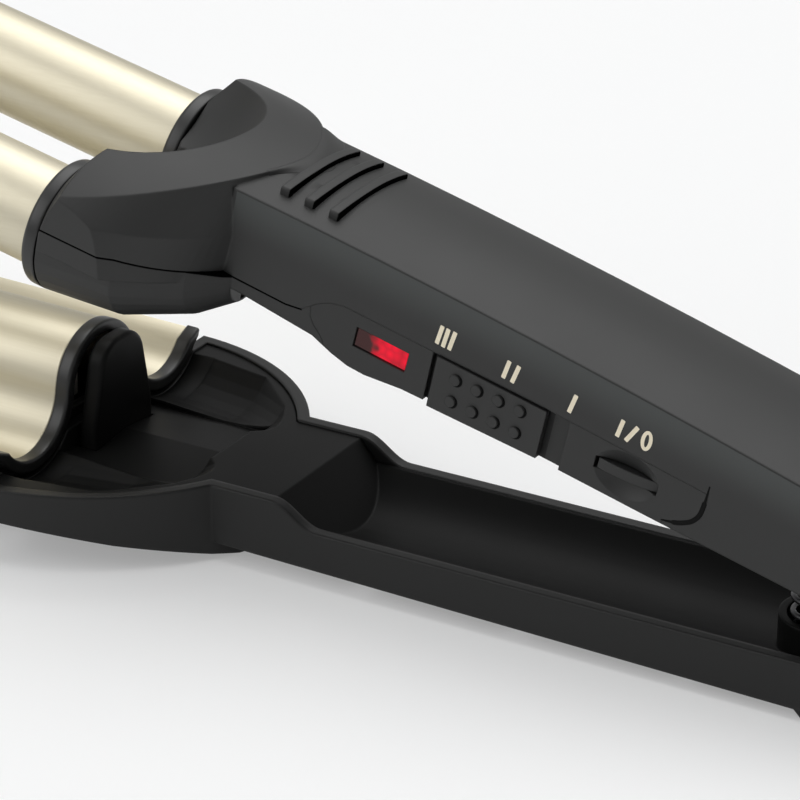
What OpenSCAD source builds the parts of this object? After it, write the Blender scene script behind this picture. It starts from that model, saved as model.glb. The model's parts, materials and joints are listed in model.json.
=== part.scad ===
// Hair waver. Two round barrels on a sprung upper arm close onto a wave-shaped plate on the lower arm.
// Millimetres, +Z up, as it lies on its lower arm with the jaws open.
// The origin is on the resting surface, straight below the hinge pin.
// -X runs from the hinge to the barrel tips. -Y is the side that carries the controls.

/* [Arms] */
// Angle that the upper arm turns through from open to closed
jaw_travel = 11.57; // [9:0.01:12]
// Angle left between the barrels and the lower handle when the jaws are closed
closed_pitch = 1.29; // [1:0.01:1.6]
// Distance from the hinge pin to the front of the barrel collars
hinge_to_collar = 191.8; // [185:0.1:205]
// Height of the barrel axes above the hinge pin, square to the upper arm
barrel_rise = 8.74; // [8:0.02:9.6]

/* [Barrels] */
// Outer diameter of a barrel
barrel_d = 19; // [18:0.1:19.4]
// Wall of a barrel
barrel_wall = 1.2; // [0.8:0.1:2]
// Distance between the two barrel axes
barrel_pitch = 42.4; // [41.6:0.1:44]
// Length of a barrel in front of its collar
barrel_len = 108; // [90:1:130]
// How far a barrel reaches into the head behind the front of its collar
barrel_seat = 13; // [10:0.5:14]
// Length of a barrel's tip cap
tip_len = 12; // [8:0.5:16]
// Outer diameter of a collar ring
collar_d = 23.9; // [23.3:0.1:24.2]
// Length of a collar ring
collar_len = 3; // [2:0.1:3.6]

/* [Wave plate] */
// Gap for the hair between a closed barrel and its trough
hair_gap = 0.9; // [0.7:0.05:1.2]
// Thickness of the wave plate
plate_t = 1.2; // [0.8:0.1:1.6]
// Depth of the ridge's centre below the closed barrel axes
ridge_drop = 2.2; // [1.6:0.1:2.6]
// Angle below the horizontal at which a trough ends on its outer side
lip_angle = 36; // [32:1:40]
// Width of the flange outside that end
flange_w = 3.1; // [2:0.1:3.2]
// Angle at which the flange rises outwards
flange_rise = 24; // [10:1:28]
// Distance from the upper collars forward to the end of the wave plate
plate_setback = 3.6; // [3.4:0.1:5]
// Length of the rim behind the wave plate
plate_collar_len = 3; // [2:0.1:3.2]
// Thickness of the block behind the ridge
ridge_block_len = 3.7; // [3:0.1:4.4]
// Half width of that block at the height of the closed barrel axes
ridge_block_half = 7.6; // [7:0.1:8]
// Height of that block above those axes
ridge_block_top = 7.6; // [7:0.1:8.2]
// Depth of the cool backing below the barrel axes
backing_depth = 18.4; // [17.5:0.1:19]
// Wall of the backing
backing_wall = 1.8; // [1.2:0.1:2.2]

/* [Upper handle] */
// Width of the upper handle
handle_w = 30.8; // [30:0.1:31.6]
// Height of the crown above the creases along the handle
crown_sag = 2.3; // [1.5:0.1:3]
// Height of the creases above the barrel axes, at their highest point
crease_z = 17.8; // [17:0.05:18.5]
// Distance of that highest point from the collars
crease_x = 10; // [0:1:30]
// Radius of the handle's long arch, seen from the side
arch_r = 1550; // [1400:10:1700]
// Where the handle starts, from the front of the collars
handle_front = 29.8; // [29:0.1:31]
// How far the handle reaches past the hinge pin
tail_len = 17; // [16:0.5:24]
// Corner radius of the tail, seen from above
tail_corner_r = 8; // [5:0.5:10]
// Wall of the upper casing
casing_wall = 2.2; // [1.8:0.1:2.6]
// Depth of the handle below the barrel axes at the tail
tail_depth = 8.2; // [7.6:0.1:8.4]

/* [Head] */
// Half width of the head across its outer facets
head_half_w = 33.15; // [33:0.05:34.5]
// Height of the head's crest above the barrel axes
crest_z = 20.5; // [20:0.1:21]
// Radius of the crest across the head
crest_r = 65; // [60:1:70]
// Radius of the hollow between the barrels
scoop_r = 24.5; // [23.6:0.1:25]
// Height of that hollow's centre
scoop_z = 28; // [27.5:0.1:29]
// Radius of a shoulder at the height of the barrel axes, seen from above
shoulder_r = 44.1; // [43.6:0.1:45]
// How much smaller that radius is at the top of the head
shoulder_taper = 18.6; // [18:0.1:19.2]

/* [Grip ribs] */
// Number of grip ribs
rib_count = 3; // [2:1:5]
// Distance of the first rib from the collars
rib_start = 37.8; // [36:0.1:42]
// Distance between ribs
rib_pitch = 5; // [4:0.1:6]
// Length of a rib across the handle
rib_len = 23.6; // [18:0.1:26]
// Width of a rib
rib_w = 1.9; // [1.2:0.1:2.6]
// Height of a rib
rib_h = 0.8; // [0.4:0.1:1.2]

/* [Control panel] */
// Where the panel starts, from the collars
panel_start = 48.9; // [47:0.1:50]
// Where the panel ends
panel_end = 127.4; // [126:0.2:132]
// Top edge of the panel at its front, above the barrel axes
panel_top = 5.6; // [5:0.1:6]
// Thickness of the panel pieces
panel_t = 3.4; // [2.8:0.1:4]
// Where the slider's window starts
slider_window_start = 73.4; // [72:0.1:75]
// Where the slider's window ends
slider_window_end = 100.6; // [99:0.1:102]
// Gap at the slider's front end when it is set to the highest heat
slider_gap = 1; // [0.8:0.1:1.4]
// Travel of the slider between its first and last setting
slider_travel = 4.2; // [3:0.1:4.4]
// Diameter of a pip on the slider
pip_d = 2; // [1.4:0.1:2.4]
// Distance between pips
pip_pitch = 4.25; // [3.6:0.05:4.6]
// Centre of the power dish, from the end of the slider's window
dish_offset = 12; // [11:0.1:13]
// Height of that centre
dish_z = -0.6; // [-0.8:0.05:-0.4]
// Length of the power dish
dish_len = 12.3; // [11:0.1:13]
// Height of the power dish
dish_h = 8.6; // [7:0.1:9]
// Depth of the power dish
dish_depth = 1.6; // [1:0.1:2]
// Length of the power rocker's fin
fin_len = 11.4; // [9:0.1:11.6]
// Thickness of the fin
fin_t = 1.9; // [1.4:0.1:2.4]
// Tilt of the rocker to either side of its middle
rocker_tilt = 4; // [3:0.5:5]
// Centre of the lamp, from the collars
lamp_x = 63.6; // [62:0.1:65]
// Length of the lamp
lamp_len = 10.2; // [8:0.1:11]
// Height of the lamp
lamp_h = 3.4; // [2.6:0.1:4]

/* [Lower arm] */
// Width of the lower handle
lower_w = 33.8; // [33:0.1:35]
// Height of the lower handle's rim above the resting surface
rim_z = 10.7; // [10.5:0.05:11.2]
// Step from that rim up to the bowl's rim
bowl_step = 4.3; // [4:0.1:4.5]
// Where the bowl's rim starts to step down, from the hinge pin
step_start = 145; // [143:0.5:147]
// Where it has reached the handle's rim
step_end = 135.5; // [134:0.5:137]
// Radius of the bowl's two sides, seen from above
bowl_r = 47; // [46:0.5:50]
// Half width of the bowl at its widest
bowl_half_w = 38.6; // [38.2:0.1:39.5]
// Distance of the widest place from the hinge pin
bowl_x = 197; // [196:0.5:198]
// Wall of the lower cover
cover_wall = 2.3; // [2:0.1:2.6]
// Floor of the lower cover
cover_floor = 1.4; // [1:0.1:1.5]
// Depth of the trough below the handle's rim
trough_depth = 6; // [5:0.1:6.1]
// Thickness of the tray
tray_t = 1.5; // [1.2:0.1:1.6]
// Clearance round an upper part where it nests in the lower arm
nest_gap = 1.6; // [1.5:0.1:1.8]

/* [Hinge] */
// Diameter of the hinge pin
pin_d = 5; // [4:0.1:6]
// Radial running clearance of the hinge pin
pin_clear = 0.04; // [0.02:0.01:0.08]
// Wall of a hinge bush
bush_wall = 1; // [0.8:0.1:1.2]
// Outer radius of the lug that carries the bushes
lug_r = 5.6; // [5.4:0.1:6]
// Outer radius of the ears on the lower cover
ear_r = 7.6; // [7:0.1:8]
// Thickness of an ear
ear_t = 3; // [2.6:0.1:3.4]
// Gap between the turning parts at the hinge
hinge_gap = 0.6; // [0.4:0.1:0.8]

/* [Arm spring] */
// Distance of the spring from the hinge pin
spring_x = 45; // [43:0.5:47]
// Mean radius of the spring's turns
spring_r = 5.2; // [4.6:0.1:5.6]
// Diameter of the spring wire
spring_wire = 1.1; // [0.9:0.05:1.3]
// Number of turns
spring_turns = 6; // [4:1:7]
// Height of the spring cup above the trough
cup_h = 7; // [4:0.5:7.5]
// Depth of the pocket in the upper arm that the spring stands in
pocket_depth = 1.2; // [0.8:0.1:1.6]

/* [Cord gland] */
// Bore of the gland, for the cord
gland_bore_d = 6.4; // [5:0.1:7]
// Wall of the gland's neck
gland_wall = 1.9; // [1.6:0.1:2.2]
// Length of the gland outside the handle
gland_len = 14; // [10:0.5:18]
// Height of the gland below the barrel axes
gland_drop = 0.6; // [0:0.1:1]

/* [Fasteners and fits] */
// Diameter of a screw's shank
screw_d = 2.6; // [2:0.1:3]
// Diameter of a screw's head
screw_head_d = 5; // [4.4:0.1:5.4]
// Height of a screw's head
screw_head_h = 1.3; // [1:0.1:1.6]
// Clearance round pieces that are fixed to each other
seat_clear = 0.03; // [0.02:0.01:0.06]
// Clearance round pieces that slide or tilt
slide_clear = 0.2; // [0.15:0.01:0.3]
// Width of the wires to the heaters
lead_d = 2; // [1.4:0.1:2.6]

/* [Hidden] */

$fn = 96;
big = 400;
fine = 0.01;
tray_gap = 0.1;

// Colours as the photo shows them
black_c = [0.13, 0.13, 0.13];
dark_c = [0.09, 0.09, 0.09];
champagne_c = [0.86, 0.81, 0.68];
steel_c = [0.7, 0.71, 0.73];
red_c = [0.75, 0.05, 0.08];
board_c = [0.1, 0.35, 0.2];
brass_c = [0.8, 0.65, 0.35];
ceramic_c = [0.88, 0.86, 0.82];

// Arms
open_pitch = jaw_travel + closed_pitch;
hinge_z = rim_z;
hinge_x = hinge_to_collar;
barrel_r = barrel_d / 2;
collar_r = collar_d / 2;
axis_y = barrel_pitch / 2;
sides = [-1, 1];

// Wave plate: trough and ridge radii meet half way between the axes
trough_r = barrel_r + hair_gap;
ridge_r = sqrt(axis_y * axis_y + ridge_drop * ridge_drop) - trough_r;
lip_y = axis_y + trough_r * cos(lip_angle);
lip_z = -trough_r * sin(lip_angle);
flange_y = lip_y + flange_w;
junction_angle = atan(ridge_drop / axis_y);
wave_steps = 24;
collar_lift = 0.4;
plate_end = -plate_setback;
plate_start = -barrel_len;
ridge_block_gap = 1.1;
ridge_block_taper = 0.22;
ridge_block_corner_r = 5.5;
ridge_block_foot = -8;
ridge_foot_half = ridge_block_half - ridge_block_taper * ridge_block_foot;
ridge_block_start = plate_end + plate_collar_len + ridge_block_gap;
ridge_block_end = ridge_block_start + ridge_block_len;
backing_half_w = flange_y - 0.5;
backing_corner_r = 6;
backing_gap = 0.1;
plate_rise = (hinge_x - plate_end) * tan(closed_pitch);
lead_drop = 13;
backing_lead_z = hinge_z + barrel_rise + plate_rise - lead_drop;
lead_y = 3;

// Upper handle, in the arm's own frame: X from the collars to the tail, Z from the barrel axes
half_w = handle_w / 2;
crown_r = (half_w * half_w + crown_sag * crown_sag) / (2 * crown_sag);
tail_x = hinge_x + tail_len;
gland_seat_len = 7;
under_front = -1.1;
neck_x = 34.6;
under_neck = -2.5;
neck_end = 50.2;
under_panel = -5.2;
under_rear = -6;
under_rear_x = 118;
rear_floor_x = panel_end - 12;
tail_wall_start = tail_x - gland_seat_len - 1.2;
side_part = 1.3;
head_part = 4;
head_part_x = 18;
band_bottom = 0;
shoulder_x = [-9.8, 9.75];
shoulder_y = [2.15, -3];
shoulder_top = 21;
scoop_x = -1;
notch_half_w = axis_y - collar_r;
notch_end = ridge_block_end + 1.2;
notch_bottom = -14;

// Lobes under the head: distance from the collars, distance from the middle, radius
lobe_rings = [
    [collar_len, axis_y, collar_r],
    [17, axis_y - 2.2, collar_r - 0.5],
    [27, axis_y - 8.2, collar_r - 2.8],
    [32.5, axis_y - 11.2, collar_r - 6.4]
];
lobe_slice = 0.3;

// Panel
panel_inner_y = -half_w + panel_t;
slider_x = slider_window_start + slider_gap;
slider_len = slider_window_end - slider_x - slider_travel - slide_clear;
dish_x = slider_window_end + dish_offset;
slider_mid = slider_x + slider_len / 2;
slider_step = 0.3;
track_depth = 1.2;
panel_mid_z = 0;
slider_bottom = -5.1;
pip_h = 0.45;
pip_rows = [-0.5, 0.5];
pip_columns = [-1.5, -0.5, 0.5, 1.5];
stem_w = 5;
stem_h = 3;
fin_pivot_depth = 1.6;
panel_crest_x = 55;
panel_slope = 0.026;
panel_bend_x = 96;
panel_rear_slope = 0.048;
dish_axis = (dish_h * dish_h / 4 - dish_depth * dish_depth) / (2 * dish_depth);
dish_arc_r = (dish_len * dish_len / 4 + dish_depth * dish_depth) / (2 * dish_depth);
fin_gap = 0.35;
fin_arc_r = 30;

// Heaters in the barrels, and the shoes that press them to the wall
heater_w = 10;
heater_t = 2.4;
heater_inset = 12;
heater_back = 8;
shoe_w = 12;

// Board behind the panel
board_t = 1.6;
board_y = panel_inner_y + 5;
board_start = 55;
board_end = 130;
board_bottom = -1.6;
switch_bottom = -2.2;
lead_z = 2.4;
board_top = 10;

// Hinge
pin_r = pin_d / 2;
lower_half_w = lower_w / 2;
ear_inner_y = lower_half_w - ear_t;
lug_half_w = half_w - casing_wall - tray_gap;
bush_len = 7;
bush_r = pin_r + pin_clear + bush_wall;
ear_recess_r = ear_r + hinge_gap + 0.3;
pin_head_r = pin_r + 1.4;
pin_head_h = 1.1;

// Lower arm, in the frame of the whole: X from the hinge
bowl_rim_z = rim_z + bowl_step;
bowl_centre_y = bowl_half_w - bowl_r;
bowl_back_x = -bowl_x + sqrt(bowl_r * bowl_r - pow(lower_half_w - bowl_centre_y, 2));
cover_front = -hinge_x + plate_end + 0.25;
cover_end = ear_r + 0.6;
tray_half_w = lower_half_w - cover_wall - tray_gap;
tray_lip_z = rim_z - 0.2;
trough_r_long = (pow(tray_half_w, 2) + pow(trough_depth, 2)) / (2 * trough_depth);
trough_bottom_z = rim_z - trough_depth;
tray_end = -17;
plateau_z = bowl_rim_z - 0.4;
ramp_run = 8.8;
centre_ridge_z = rim_z + 1.8;
centre_ridge_half = 14;
centre_ridge_fall = 1.6;
centre_ridge_end = -164;

// Underside of the lower arm: distance from the middle, height
under_flat = 10;
under_drop = 1.6;
under_slope = 0.84;
under_edge_z = rim_z - 9.37;
bowl_under = [[12, 0], [17, 1.2], [30, 5.3], [bowl_half_w, 8.7]];
foot_front = -41.5;
foot_rear = 6;
foot_half_w = lower_half_w - 1;
tail_wall_gap = 0.4;
tail_wall_x = cover_end - cover_wall;
tail_wall_z = hinge_z + (barrel_rise - tail_depth) / cos(open_pitch)
    - (cover_end + 0.4) * tan(open_pitch) - tail_wall_gap;

// Spring, upright between the arms
spring_bottom = trough_bottom_z + 0.4;
spring_outer_r = spring_r + spring_wire / 2;
pocket_z = under_at(hinge_x - spring_x) + pocket_depth;
spring_top = hinge_z + (barrel_rise + pocket_z) / cos(open_pitch)
    + (spring_x - spring_outer_r) * tan(open_pitch) - 0.15;
cup_r = spring_r + spring_wire + 1.4;
cup_bore_r = spring_outer_r + 0.5;

// Gland
gland_neck_r = gland_bore_d / 2 + gland_wall;
gland_flange_r = gland_neck_r + 1.6;
gland_flange_t = 1.6;
gland_seat_r = gland_flange_r + 1.6;
gland_z = -gland_drop;
gland_flange_x = tail_x - gland_seat_len + 1.6;

// Screws
casing_screw_x = [42, 136, 170];
tray_screw_x = [-128, -96, -64];
tray_screw_y = 12;
tray_screw_head_z = 3.2;
tray_screw_pad_z = 4.8;
tray_screw_top = 7.1;
boss_r = screw_d / 2 + 1.5;
tray_boss_r = screw_d / 2 + 1.15;

function crease_at(x) = crease_z - pow(x - crease_x, 2) / (2 * arch_r);
function panel_top_at(x) = panel_top - max(0, min(x, panel_bend_x) - panel_crest_x) * panel_slope
    - max(0, x - panel_bend_x) * panel_rear_slope;
function arc_points(cx, cz, r, a0, a1, n) =
    [for (i = [0:n]) let (a = a0 + (a1 - a0) * i / n) [cx + r * cos(a), cz + r * sin(a)]];

// ---- Frames ----

// Draws in the upper arm's own frame, with the jaws open
module on_open_arm() {
    translate([0, 0, hinge_z]) rotate([0, open_pitch, 0]) translate([-hinge_x, 0, barrel_rise]) children();
}

// Draws in the upper arm's own frame as it lies when the jaws are closed
module on_closed_arm() {
    translate([0, 0, hinge_z]) rotate([0, closed_pitch, 0]) translate([-hinge_x, 0, barrel_rise]) children();
}

// Extrudes an outline drawn in X and Z across the whole width
module across(y0, y1) {
    translate([0, y1, 0]) rotate([90, 0, 0]) linear_extrude(y1 - y0) children();
}

// Extrudes an outline drawn in Y and Z along X
module along(x0, x1) {
    translate([x0, 0, 0]) rotate([90, 0, 90]) linear_extrude(x1 - x0) children();
}

// A round bar along X
module bar_x(x0, x1, y, z, r) {
    translate([x0, y, z]) rotate([0, 90, 0]) cylinder(h = x1 - x0, r = r);
}

// A round bar along Y
module bar_y(y0, y1, x, z, r) {
    translate([x, y1, z]) rotate([90, 0, 0]) cylinder(h = y1 - y0, r = r);
}

// A box from one corner to the other
module box(a, b) {
    translate(a) cube([b[0] - a[0], b[1] - a[1], b[2] - a[2]]);
}

// ---- Upper handle and head, as one outer form ----

// Cross-section of the handle: X is the height from the crease, Y the width
module handle_section(inset) {
    intersection() {
        translate([-big / 4, -half_w + inset]) square([big / 2, handle_w - 2 * inset]);
        translate([crown_sag - crown_r, 0]) circle(r = crown_r - inset, $fn = 180);
    }
}

// Carries the cross-section along the handle's long arch
module handle_sweep(x0, x1, inset) {
    a0 = asin((x0 - crease_x) / arch_r);
    a1 = asin((x1 - crease_x) / arch_r);
    translate([crease_x, 0, crease_z - arch_r])
        rotate([0, -90, -90]) rotate([0, 0, a0])
            rotate_extrude(angle = a1 - a0, $fn = 720) translate([arch_r, 0]) handle_section(inset);
}

// Underside of the handle, seen from the side
module under_profile(inset) {
    translate([0, inset]) polygon([
        [handle_front - 2, under_front], [neck_x, under_front], [neck_end, under_neck],
        [54.5, -4.1], [58, -5], [61.5, -5.2], [69, -4.5], [75, -4.5], [96, under_panel],
        [under_rear_x, under_rear], [hinge_x, -tail_depth], [tail_x - inset, -tail_depth],
        [tail_x - inset, big / 4], [handle_front - 2, big / 4]
    ]);
}

// Outline of the handle from above, with a rounded tail
module handle_plan(inset) {
    r = tail_corner_r - inset;
    translate([handle_front - 2, -half_w + inset])
        square([tail_x - tail_corner_r - handle_front + 2, handle_w - 2 * inset]);
    translate([tail_x - tail_corner_r - 1, -half_w + tail_corner_r])
        square([tail_corner_r + 1 - inset, handle_w - 2 * tail_corner_r]);
    for (s = sides) translate([tail_x - tail_corner_r, s * (half_w - tail_corner_r)]) circle(r = r);
}

// The whole handle as a solid block, shrunk by the inset on every side
module handle_block(inset, x0) {
    intersection() {
        handle_sweep(x0, tail_x, inset);
        across(-big / 2, big / 2) under_profile(inset);
        translate([0, 0, -big / 4]) linear_extrude(big / 2) handle_plan(inset);
    }
}

// Upper part of the head: an arched block with two drawn-in shoulders, hollowed between the barrels
module head_block() {
    difference() {
        intersection() {
            along(collar_len, handle_front + 6) intersection() {
                translate([-head_half_w, band_bottom]) square([2 * head_half_w, big / 8]);
                translate([0, crest_z - crest_r]) circle(r = crest_r, $fn = 180);
            }
            shoulder_cone(1);
            shoulder_cone(-1);
            front_cones();
        }
        translate([scoop_x, 0, scoop_z]) sphere(r = scoop_r);
        box([0, -notch_half_w, notch_bottom], [notch_end, notch_half_w, big / 8]);
    }
}

// The front of the head flares back from each collar
module front_cones() {
    for (s = sides)
        translate([collar_len, s * axis_y, 0]) rotate([0, 90, 0])
            cylinder(h = 32, r1 = collar_r, r2 = collar_r + 46);
}

// A slanted cone whose edge is the shoulder on one side
module shoulder_cone(s) {
    hull() {
        translate([shoulder_x[0], s * shoulder_y[0], 0])
            cylinder(h = fine, r = shoulder_r, $fn = 128);
        translate([shoulder_x[1], s * shoulder_y[1], shoulder_top - fine])
            cylinder(h = fine, r = shoulder_r - shoulder_taper, $fn = 128);
    }
}

// One rounded lobe under each barrel, drawn in towards the handle
module lobes(grow) {
    for (s = sides)
        hull()
            for (ring = lobe_rings)
                translate([ring[0], s * ring[1], 0]) rotate([0, 90, 0])
                    cylinder(h = lobe_slice, r = ring[2] + grow, $fn = 32);
}

// Outline of the panel's rounded rear end, from top to bottom
function panel_rear(gap) = [
    [panel_end + gap, panel_top_at(panel_end) + gap], [panel_end + gap, 0],
    [panel_end - 0.3 + gap, -1.6], [panel_end - 1.2 + gap, -3], [panel_end - 2.8 + gap, -4 - gap],
    [panel_end - 6.5 + gap, -5.3 - gap], [panel_end - 11, -big / 8]
];

// Outline of the panel's front end, from bottom to top
function panel_front(gap) = [
    [54, -big / 8], [54 - gap, -5], [51.9 - gap, -1.9], [50.1 - gap, -0.4], [49.1 - gap, 1],
    [panel_start - gap, 2.8], [50.2 - gap, 3.9 + gap], [52.2 - gap / 2, panel_top - 0.7 + gap],
    [panel_crest_x, panel_top + gap], [panel_bend_x, panel_top_at(panel_bend_x) + gap]
];

// Everything above the parting line
module above_parting() {
    across(-big / 2, big / 2) polygon(concat(
        [[-1, head_part], [head_part_x, head_part], [31.5, side_part], [44, side_part - 0.4],
            [47, side_part], [panel_start, 2.8], [50.2, 3.9], [52.2, panel_top - 0.7],
            [panel_crest_x, panel_top], [panel_bend_x, panel_top_at(panel_bend_x)]],
        panel_rear(0),
        [[big, -big / 8], [big, big / 8], [-1, big / 8]]
    ));
}

// The part of the handle's side that the panel fills
module panel_window(y0, y1, gap) {
    across(y0, y1) polygon(concat(panel_rear(gap), panel_front(gap)));
}

// Clearance in the upper arm for the hinge ears, round the pin
module ear_recesses() {
    for (s = sides)
        bar_y(min(s * lug_half_w, s * big / 8), max(s * lug_half_w, s * big / 8),
            hinge_x, -barrel_rise, ear_recess_r);
}

module barrel_holes() {
    for (s = sides) bar_x(-1, barrel_seat, s * axis_y, 0, barrel_r + seat_clear);
}

// Room for wires between the barrels' seats and the handle
module wire_gallery() {
    translate([0, 0, -5]) linear_extrude(11) polygon([
        [barrel_seat - fine, -axis_y - 4], [barrel_seat + 2, -axis_y - 4], [27, -11], [33, -11],
        [33, 11], [27, 11], [barrel_seat + 2, axis_y + 4], [barrel_seat - fine, axis_y + 4]
    ]);
}

module gland_pocket(r) {
    bar_x(tail_x - gland_seat_len, tail_x + 1, 0, gland_z, r);
}

// ---- Sub-parts of the upper arm ----

module upper_casing() color(black_c) on_open_arm() {
    difference() {
        union() {
            intersection() {
                union() {
                    head_block();
                    handle_block(0, handle_front);
                }
                above_parting();
            }
            grip_ribs();
        }
        intersection() {
            handle_block(casing_wall, handle_front + casing_wall);
            box([handle_front + casing_wall, -big / 8, -big / 8],
                [tail_wall_start, big / 8, big / 8]);
        }
        barrel_holes();
        wire_gallery();
        ear_recesses();
        gland_pocket(gland_seat_r + seat_clear);
        // The cord's way on into the handle
        bar_x(tail_x - gland_seat_len - 3, tail_x - gland_seat_len + 1, 0, gland_z, gland_bore_d / 2 + 0.2);
        box([rear_floor_x, -half_w + casing_wall, -big / 8],
            [tail_wall_start, half_w - casing_wall, ear_recess_r - barrel_rise + 0.5]);
    }
    casing_bosses();
}

module grip_ribs() {
    intersection() {
        for (i = [0:rib_count - 1])
            translate([rib_start + i * rib_pitch, 0, crease_z - 2]) {
                translate([-rib_w / 2, -rib_len / 2 + rib_w / 2, 0])
                    cube([rib_w, rib_len - rib_w, 10]);
                for (s = sides) translate([0, s * (rib_len - rib_w) / 2, 0]) cylinder(h = 10, d = rib_w);
            }
        handle_sweep(handle_front, handle_front + 50, -rib_h);
    }
}

// Posts that the casing screws bite into
module casing_bosses() {
    for (x = casing_screw_x)
        intersection() {
            difference() {
                translate([x, 0, boss_foot(x)]) cylinder(h = 40, r = boss_r);
                translate([x, 0, boss_foot(x) - 1]) cylinder(h = 8, r = screw_d / 2 + seat_clear);
            }
            handle_block(casing_wall - fine, handle_front);
        }
}

function under_at(x) = x < neck_end
    ? under_front + (under_neck - under_front) * max(0, x - neck_x) / (neck_end - neck_x)
    : under_rear + (-tail_depth - under_rear) * (x - under_rear_x) / (hinge_x - under_rear_x);
function boss_foot(x) = under_at(x) + casing_wall + 2;

module upper_base() color(black_c) on_open_arm() {
    difference() {
        union() {
            difference() {
                union() {
                    intersection() {
                        head_block();
                        box([0, -big / 8, band_bottom], [neck_x + 1, big / 8, big / 8]);
                    }
                    lobes(0);
                    handle_block(0, handle_front);
                }
                above_parting();
            }
            rear_floor();
            hinge_lug();
        }
        difference() {
            handle_block(casing_wall, handle_front + casing_wall);
            hinge_block();
        }
        panel_window(-big / 8, panel_inner_y, 0);
        barrel_holes();
        wire_gallery();
        box([0, -notch_half_w, notch_bottom], [notch_end, notch_half_w, big / 8]);
        ear_recesses();
        screw_holes();
        spring_pocket();
        gland_pocket(gland_seat_r + seat_clear);
        bar_y(-lug_half_w - 1, lug_half_w + 1, hinge_x, -barrel_rise, bush_r + seat_clear);
    }
}

// The floor of the handle behind the panel, inside the casing's walls
module rear_floor() {
    intersection() {
        handle_block(0, handle_front);
        box([rear_floor_x, -half_w + casing_wall + tray_gap, -big / 8],
            [tail_x - gland_seat_len - 2, half_w - casing_wall - tray_gap, under_rear + casing_wall]);
    }
}

module hinge_block() {
    box([hinge_x - lug_r - 2, -lug_half_w, -big / 8], [hinge_x + lug_r, lug_half_w, -tail_depth + 5]);
}

module hinge_lug() {
    bar_y(-lug_half_w, lug_half_w, hinge_x, -barrel_rise, lug_r);
}

module screw_holes() {
    for (x = casing_screw_x) {
        translate([x, 0, under_at(x) - 20]) cylinder(h = 60, r = screw_d / 2 + seat_clear);
        translate([x, 0, under_at(x) - 20]) cylinder(h = 20 + screw_head_h, r = screw_head_d / 2 + seat_clear);
    }
}

// The pocket in the handle's underside that the spring stands in
module spring_pocket() {
    translate([hinge_x - spring_x, 0, pocket_z - 20]) cylinder(h = 20, r = cup_bore_r + 0.4);
}

module lamp_bezel() color(black_c) on_open_arm() {
    difference() {
        panel_piece(panel_start, slider_window_start - seat_clear);
        lamp_hole(0.25);
    }
}

// A stretch of the panel, flush with the handle's side
module panel_piece(x0, x1) {
    intersection() {
        handle_block(0, handle_front);
        panel_window(-half_w - 1, panel_inner_y - tray_gap, -seat_clear);
        box([x0, -big / 8, -big / 8], [x1, big / 8, big / 8]);
    }
}

// The lamp's window, drawn a little upwards to the front
module lamp_hole(gap) {
    lamp_z = 0.9;
    translate([lamp_x, 0, lamp_z]) rotate([0, 2, 0])
        box([-lamp_len / 2 - gap, -half_w - 1, -lamp_h / 2 - gap],
            [lamp_len / 2 + gap, panel_inner_y + 1, lamp_h / 2 + gap]);
}

module lamp_lens() color(red_c) on_open_arm() {
    intersection() {
        lamp_hole(0);
        box([0, -half_w + 0.35, -big / 8], [big, panel_inner_y - tray_gap, big / 8]);
    }
}

module indicator_led() color(red_c) on_open_arm() {
    bar_y(panel_inner_y + 0.2, board_y - 1.2, lamp_x + 1.5, 0.9, 1.5);
    bar_y(board_y - 1.2, board_y - fine, lamp_x + 1.5, 0.9, 1.9);
}

module temperature_slider() color(black_c) on_open_arm() {
    slider_end = slider_x + slider_len;
    // Its top edge runs along the casing's edge and stays clear of it over the travel
    across(-half_w - slider_step, -half_w + track_depth - slide_clear) polygon([
        [slider_x, slider_bottom], [slider_end, slider_bottom],
        [slider_end, panel_top_at(slider_end + slider_travel) - slide_clear],
        [slider_x, panel_top_at(slider_x + slider_travel) - slide_clear]
    ]);
    for (i = pip_columns)
        for (j = pip_rows)
            translate([slider_mid + i * pip_pitch - 0.3, 0, panel_mid_z + j * pip_pitch])
                bar_y(-half_w - slider_step - pip_h, -half_w, 0, 0, pip_d / 2);
    // The stem that reaches the switch behind the track
    box([slider_mid - stem_w / 2, -half_w, panel_mid_z - stem_h / 2],
        [slider_mid + stem_w / 2, panel_inner_y + 1.6, panel_mid_z + stem_h / 2]);
}

module slider_track() color(dark_c) on_open_arm() {
    difference() {
        intersection() {
            panel_piece(slider_window_start, slider_window_end - 0.1);
            box([0, -half_w + track_depth, -big / 8], [big, big / 8, big / 8]);
        }
        box([slider_mid - stem_w / 2 - slide_clear, -big / 8, panel_mid_z - stem_h / 2 - slide_clear],
            [slider_mid + stem_w / 2 + slider_travel + slide_clear, big / 8,
                panel_mid_z + stem_h / 2 + slide_clear]);
    }
}

module switch_plate() color(black_c) on_open_arm() {
    difference() {
        panel_piece(slider_window_end, panel_end);
        dish();
        box([dish_x - fin_len / 2 - fin_gap, -big / 8, dish_z - fin_t / 2 - slide_clear],
            [dish_x + fin_len / 2 + fin_gap, big / 8, dish_z + fin_t / 2 + slide_clear]);
    }
}

// A lens-shaped hollow turned about a line in front of the panel
module dish() {
    translate([dish_x, -half_w - dish_axis, dish_z]) rotate([0, 90, 0]) rotate_extrude()
        intersection() {
            translate([dish_axis + dish_depth - dish_arc_r, 0]) circle(r = dish_arc_r, $fn = 180);
            translate([0, -dish_len]) square([dish_arc_r, 2 * dish_len]);
        }
}

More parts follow.
